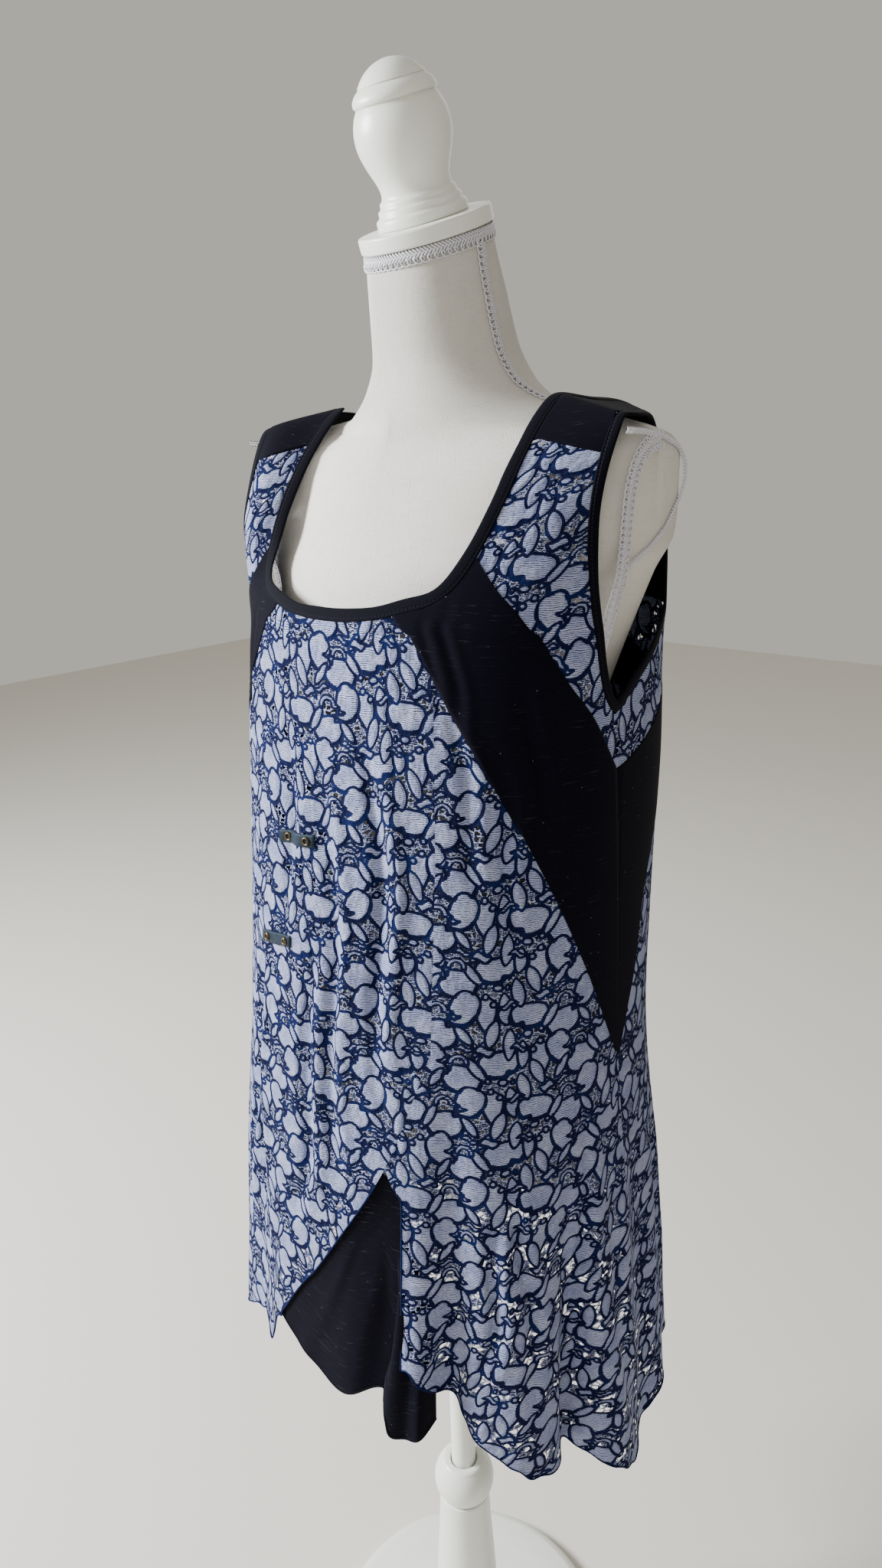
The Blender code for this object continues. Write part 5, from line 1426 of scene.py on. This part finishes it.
def form(angle, height):
    """Points of the form, by angle from the centre front and height on its axis."""
    angle, height = np.broadcast_arrays(np.asarray(angle, float), np.asarray(height, float))
    across = np.sin(np.radians(angle))
    ahead = np.cos(np.radians(angle))
    front = ahead > 0
    power = 2.0 / np.where(front, FORM_RING[6](height), FORM_RING[7](height))
    x = FORM_RING[2](height) * signed_power(across, power)
    plate = ARM_PLATE_X + ARM_PLATE_SWELL * np.clip(np.abs(x) - ARM_PLATE_X, 0.0, 1.0)
    flattened = np.copysign(np.minimum(np.abs(x), plate), x)
    x = np.where(height < ARM_PLATE_TOP, flattened, x)
    reach = np.where(front, -FORM_RING[3](height), FORM_RING[4](height)) * np.abs(ahead) ** power
    lean = np.radians(FORM_RING[5](height))
    y = FORM_RING[1](height) + reach * np.cos(lean)
    return swing(np.stack([x, y, height + reach * np.sin(lean)], axis=-1))


def form_normal(angle, height):
    """Directions out of the form."""
    round_body = form(angle + 1.0, height) - form(angle - 1.0, height)
    upward = form(angle, height + 0.003) - form(angle, height - 0.003)
    return unit(np.cross(round_body, upward))


def build_form():
    """The padded torso with its neck, covered in linen."""
    columns = 120
    angles = np.linspace(-180.0, 180.0, columns + 1)
    heights = np.concatenate([
        np.linspace(FORM_RINGS[0][0], 0.7740, 6)[:-1],
        np.linspace(0.7740, 1.2500, 40)[:-1],
        np.linspace(1.2500, FORM_RINGS[-1][0], 76),
    ])
    points = form(angles[None, :], heights[:, None])
    points[:, -1] = points[:, 0]
    under = points[0] * np.array([0.0, 0.0, 1.0]) + np.array([0.0, 0.004, 0.0])
    cap = points[-1].mean(axis=0)[None, :].repeat(columns + 1, axis=0)
    points = np.concatenate([under[None], points, cap[None]])
    across = np.radians(angles)[None, :] * 0.15 + 0.0 * points[..., 0]
    flat = np.stack([across, points[..., 2]], axis=-1)
    piece = add_grid("form_linen", points, flat=flat)
    weld(piece)
    dress(piece, LINEN, "form_body", slot="linen")


GIMP_STEP = 0.0004
STRAND_PITCH = 0.0028
STRAND_RADIUS = 0.0008
LOOP_PITCH = 0.0050
LOOP_RADIUS = 0.0006


def gimp(name, path, normals, closed, loops, width, node):
    """A gimp braid: two rows of slanted strands that meet, and a thread looped along chosen edges."""
    both = spaced(np.concatenate([path, normals], axis=1), GIMP_STEP, closed=closed)
    both = rounded(both, 10, closed=closed)
    path, normals = both[:, :3], unit(both[:, 3:])
    sides = unit(np.cross(normals, along_path(path, closed)))
    count = len(path)
    total = count * GIMP_STEP
    half = 0.5 * width

    def laid(travel, across, lift):
        """Places and normals from how far along the braid, across it and above its ground they lie."""
        spot = travel / GIMP_STEP
        spot = np.mod(spot, count) if closed else np.clip(spot, 0.0, count - 1.001)
        low = np.floor(spot).astype(int)
        share = (spot - low)[:, None]
        high = (low + 1) % count
        ground = path[low] * (1.0 - share) + path[high] * share
        up = normals[low] * (1.0 - share) + normals[high] * share
        side = sides[low] * (1.0 - share) + sides[high] * share
        return ground + side * across[:, None] + up * lift[:, None], up

    grids = []
    repeats = max(round(total / STRAND_PITCH), 1)
    slant = 1.25 * half
    reach = np.linspace(0.0, 1.0, 7)
    for number in range(repeats):
        start = number * total / repeats
        if not closed and start + slant > total:
            continue
        for edge in (-1.0, 1.0):
            offset = 0.0 if edge < 0.0 else 0.5 * STRAND_PITCH
            across = edge * half * (1.0 - 1.12 * reach)
            lift = 0.0005 + 0.0009 * np.sin(math.pi * (0.10 + 0.72 * reach))
            places, up = laid(start + offset + slant * reach, across, lift)
            grids.append((tube_points(places, STRAND_RADIUS, 6, False, 0.8, up), False))
    loop_repeats = max(round(total / LOOP_PITCH), 1)
    turn = np.linspace(0.0, math.tau * loop_repeats, loop_repeats * 14, endpoint=not closed)
    for edge in loops:
        across = edge * (half + 0.0014 - 0.0021 * np.cos(turn))
        travel = turn / math.tau * total / loop_repeats - 0.0022 * np.sin(turn)
        lift = 0.0013 + 0.0006 * np.sin(turn + 1.0)
        places, up = laid(travel, across, lift)
        grids.append((tube_points(places, LOOP_RADIUS, 6, closed, 1.0, up), closed))
    piece = merge_grids(name, grids)
    dress(piece, BRAID, *([node] if node else []), slot="braid")


def build_braids():
    """Looped braid round the neck, down each side of it, and round each arm plate."""
    angles = np.linspace(0.0, 360.0, 240, endpoint=False)
    height = FORM_RINGS[-1][0] - NECK_BRAID_DROP
    gimp("neck_gimp", form(angles, height), form_normal(angles, height), True, (-1.0,), 0.0068, "braid_neck")
    side_heights = np.linspace(1.4300, 1.5450, 60)
    side_angle = Curve(tuple(sorted(SIDE_BRAID)), 1)
    for hand, side in HANDS:
        angles = side * side_angle(side_heights)
        path, normals = form(angles, side_heights), form_normal(angles, side_heights)
        gimp("side_gimp_" + hand, path, normals, False, (side,), 0.0050, "braid_neck_" + hand)
        plate_braid("plate_gimp_" + hand, side, PLATE_BRAID, 0.0072, (-1.0, 1.0), "braid_plate_" + hand)
        plate_braid("plate_rope_" + hand, side, PLATE_ROPE, 0.0040, (), None)


def plate_braid(name, side, table, width, loops, node):
    """Braid laid on the flat of one shoulder."""
    flat = rounded(spaced(np.array(table), 0.002), 3)
    path = np.stack([np.full(len(flat), side * ARM_PLATE_X), flat[:, 0], flat[:, 1]], axis=1)
    outside = path + np.array([side * 0.01, 0.0, 0.0])
    normals = unit(swing(outside) - swing(path))
    gimp(name, swing(path) + normals * 0.0004, normals, False, loops, width, node)


# ---------------------------------------------------------------- turned wood

def turned(name, profile, *nodes, base=Vector((0, 0, 0)), tilt=0.0, sides=96):
    """Spin a profile of (radius, height) pairs about its axis, with its corners slightly softened."""
    line = soften(np.array(profile, float))
    turns = np.linspace(0.0, math.tau, sides, endpoint=False)
    points = np.stack([
        line[:, 0:1] * np.cos(turns)[None, :],
        line[:, 0:1] * np.sin(turns)[None, :],
        line[:, 1:2] + 0.0 * turns[None, :],
    ], axis=-1)
    place = np.array(Matrix.Translation(base) @ Matrix.Rotation(math.radians(tilt), 4, "X"))
    points = points @ place[:3, :3].T + place[:3, 3]
    piece = add_grid(name, points, closed=True)
    weld(piece)
    piece.data.set_sharp_from_angle(angle=math.radians(38.0))
    return dress(piece, PAINT, *nodes, slot="paint")


def soften(line, reach=0.0008):
    """Replace each sharp corner of a profile by a short chamfer of two points."""
    out = [line[0]]
    for before, here, after in zip(line[:-2], line[1:-1], line[2:]):
        back = before - here
        ahead = after - here
        near = min(reach, 0.35 * np.linalg.norm(back), 0.35 * np.linalg.norm(ahead))
        out.append(here + unit(back) * near)
        out.append(here + unit(ahead) * near)
    out.append(line[-1])
    return np.array(out)


def arc(middle_radius, middle_height, radius, start, end, steps):
    """Points of a profile on a round, from one angle to another, in degrees from straight up."""
    angles = np.radians(np.linspace(start, end, steps + 1))
    return [(middle_radius + radius * math.sin(a), middle_height + radius * math.cos(a)) for a in angles]


DISC_EDGE = 0.0020
JOINT_GAP = 0.0003
COLLAR_HEIGHT = 0.012
POLE_RADIUS = 0.0136
DOME_HEIGHT = 0.0755
DOME_RADIUS = 0.0302
BALL_RADIUS = 0.0336
BALL_HEIGHT = 0.2786
BALL_CUP = (
    # radius, height above the ball's middle: the cup's rim, and the socket that the pole stands in
    (0.0238, 0.0243), (0.0226, 0.0252), (0.0218, 0.0258), (0.0200, 0.0262), (0.0158, 0.0262),
    (0.0152, 0.0250), (0.0150, 0.0215), (0.0, 0.0215),
)
CUP_RIM = 0.0262
COLUMN_LINE = (
    # radius, height
    (0.0465, 0.0343), (0.0465, 0.0460), (0.0400, 0.0520), (0.0400, 0.0600), (0.0372, 0.0780),
    (0.0362, 0.1000), (0.0345, 0.1350), (0.0318, 0.1800), (0.0295, 0.2200), (0.0283, 0.2500),
    (0.0278, 0.2558),
)
BASE_LINE = (
    # radius, height
    (0.0, 0.0), (0.158, 0.0), (0.160, 0.002), (0.160, 0.014), (0.150, 0.019), (0.120, 0.0235),
    (0.080, 0.0270), (0.0600, 0.0300), (0.0560, 0.0340), (0.0, 0.0340),
)
FINIAL_STEM = (
    # radius, height above the disc: three flange steps, the throat and the belly up to its groove
    (0.0, 0.0), (0.0356, 0.0), (0.0356, 0.0070), (0.0325, 0.0088), (0.0325, 0.0128), (0.0300, 0.0144),
    (0.0300, 0.0178), (0.0274, 0.0200), (0.0269, 0.0228), (0.0270, 0.0258), (0.0277, 0.0290),
    (0.0290, 0.0326), (0.0307, 0.0366), (0.0325, 0.0410), (0.0341, 0.0455), (0.0354, 0.0500),
    (0.0363, 0.0545), (0.0366, 0.0590), (0.0362, 0.0645), (0.0351, 0.0695), (0.0330, 0.0748),
    (0.0300, 0.0798),
)
FINIAL_BEAD = (
    # radius, height above the disc
    (0.0309, 0.0801), (0.0316, 0.0811), (0.0318, 0.0827), (0.0314, 0.0846), (0.0301, 0.0868),
    (0.0284, 0.0887), (0.0268, 0.0900), (0.0255, 0.0909), (0.0248, 0.0914),
)


def build_wood():
    """The neck cap with its finial, the pole, the ball joint, the column and the base."""
    disc = [(0.0, 0.0), (0.0513, 0.0)] + arc(0.0508, DISC_EDGE, DISC_EDGE, 170.0, 90.0, 4)
    disc += arc(0.0508, DISC_THICK - DISC_EDGE, DISC_EDGE, 90.0, 5.0, 5) + [(0.0, DISC_THICK)]
    turned("cap_disc", disc, "neck_disc", base=NECK_DISC_BASE, tilt=NECK_TILT, sides=128)
    finial = list(FINIAL_STEM + FINIAL_BEAD) + arc(0.0, DOME_HEIGHT, DOME_RADIUS, 58.0, 0.0, 22)
    axis = Vector((0.0, -math.sin(math.radians(NECK_TILT)), math.cos(math.radians(NECK_TILT))))
    foot = NECK_DISC_BASE + axis * (DISC_THICK + 0.0002)
    turned("cap_finial", finial, "neck_finial", base=foot, tilt=NECK_TILT, sides=112)
    bottom = FORM_RINGS[0][0] - JOINT_GAP
    collar = [(0.0, 0.0), (0.036, 0.0), (0.040, 0.004), (0.040, COLLAR_HEIGHT), (0.0, COLLAR_HEIGHT)]
    turned("collar", collar, "form_collar", base=Vector((0, 0, bottom - COLLAR_HEIGHT)))
    low = BALL_HEIGHT + CUP_RIM - 0.004
    top = bottom - COLLAR_HEIGHT - JOINT_GAP
    pole = [(0.0, low), (POLE_RADIUS, low), (POLE_RADIUS, top), (0.0, top)]
    turned("pole", pole, "stand_pole", sides=64)
    ball = [(0.0, BALL_HEIGHT - BALL_RADIUS)] + arc(0.0, BALL_HEIGHT, BALL_RADIUS, 176.0, 46.0, 40)
    ball += [(radius, BALL_HEIGHT + height) for radius, height in BALL_CUP]
    turned("ball", ball, "stand_ball")
    line = Curve(COLUMN_LINE[4:], 0, key=1)
    upper = [(float(line(height)), height) for height in np.linspace(0.0780, 0.2558, 26)]
    column = [(0.0, 0.0343)] + list(COLUMN_LINE[:4]) + upper
    column += arc(0.0, BALL_HEIGHT, BALL_RADIUS + JOINT_GAP, 132.0, 180.0, 16)
    turned("column", column, "stand_column")
    turned("base", BASE_LINE, "stand_base", sides=128)


# ---------------------------------------------------------------- light, floor and camera

LIGHTS = (
    # name, place, what it faces, size, power, colour
    ("window", (-2.3, -2.0, 2.3), (0.0, 0.0, 1.10), 1.1, 360.0, (0.93, 0.96, 1.0)),
    ("room", (1.2, -2.6, 1.9), (0.0, 0.0, 1.0), 2.4, 16.0, (1.0, 0.97, 0.93)),
    ("rim", (-1.2, 2.2, 2.4), (0.0, 0.0, 1.1), 1.6, 10.0, (1.0, 0.97, 0.93)),
)


def build_studio():
    """A pale floor, an even pale surround and soft daylight from the viewer's left."""
    floor = add_mesh("floor", [(-6, -6, 0), (6, -6, 0), (6, 6, 0), (-6, 6, 0)], [(0, 1, 2, 3)])
    look = Looks("studio_floor")
    floor.data.materials.append(look.finish(Base_Color="#D9D5CC", Roughness=0.8))
    world = bpy.data.worlds.new("studio")
    bpy.context.scene.world = world
    world.use_nodes = True
    back = world.node_tree.nodes["Background"]
    back.inputs["Color"].default_value = linear("#DAD6CC")
    back.inputs["Strength"].default_value = 0.72
    for name, place, aim, size, power, colour in LIGHTS:
        light = bpy.data.lights.new(name, "AREA")
        light.shape = "SQUARE"
        light.size = size
        light.energy = power
        light.color = colour
        holder = bpy.data.objects.new(name, light)
        holder.location = place
        holder.rotation_euler = (Vector(aim) - Vector(place)).to_track_quat("-Z", "Y").to_euler()
        bpy.context.scene.collection.objects.link(holder)


SENSOR = 36.0
LENS_SHARE = 1365.0 / 2048.0


def build_camera():
    """The camera stands to the wearer's left of the front, near shoulder height, and looks down a little."""
    turn, distance, height = math.radians(42.0), 0.8961, 1.40
    pitch, roll, yaw = math.radians(17.947), math.radians(-1.776), math.radians(-0.137)
    heading = turn - yaw
    level_ahead = Vector((-math.sin(heading), math.cos(heading), 0.0))
    right = Vector((math.cos(heading), math.sin(heading), 0.0))
    ahead = level_ahead * math.cos(pitch) - Vector((0, 0, 1)) * math.sin(pitch)
    down = -(level_ahead * math.sin(pitch) + Vector((0, 0, 1)) * math.cos(pitch))
    image_right = right * math.cos(roll) - down * math.sin(roll)
    image_down = down * math.cos(roll) + right * math.sin(roll)
    camera = bpy.data.cameras.new("camera")
    camera.sensor_fit = "VERTICAL"
    camera.sensor_height = SENSOR
    camera.lens = SENSOR * LENS_SHARE
    holder = bpy.data.objects.new("camera", camera)
    turn_matrix = Matrix((image_right, -image_down, -ahead)).transposed().to_4x4()
    place = Vector((distance * math.sin(turn), -distance * math.cos(turn), height))
    holder.matrix_world = Matrix.Translation(place) @ turn_matrix
    bpy.context.scene.collection.objects.link(holder)
    bpy.context.scene.camera = holder


build_camera()
build_studio()
build_laces()
build_bands_and_yokes()
build_upper_back()
build_inset()
build_bindings()
build_tabs()
build_form()
build_braids()
build_wood()
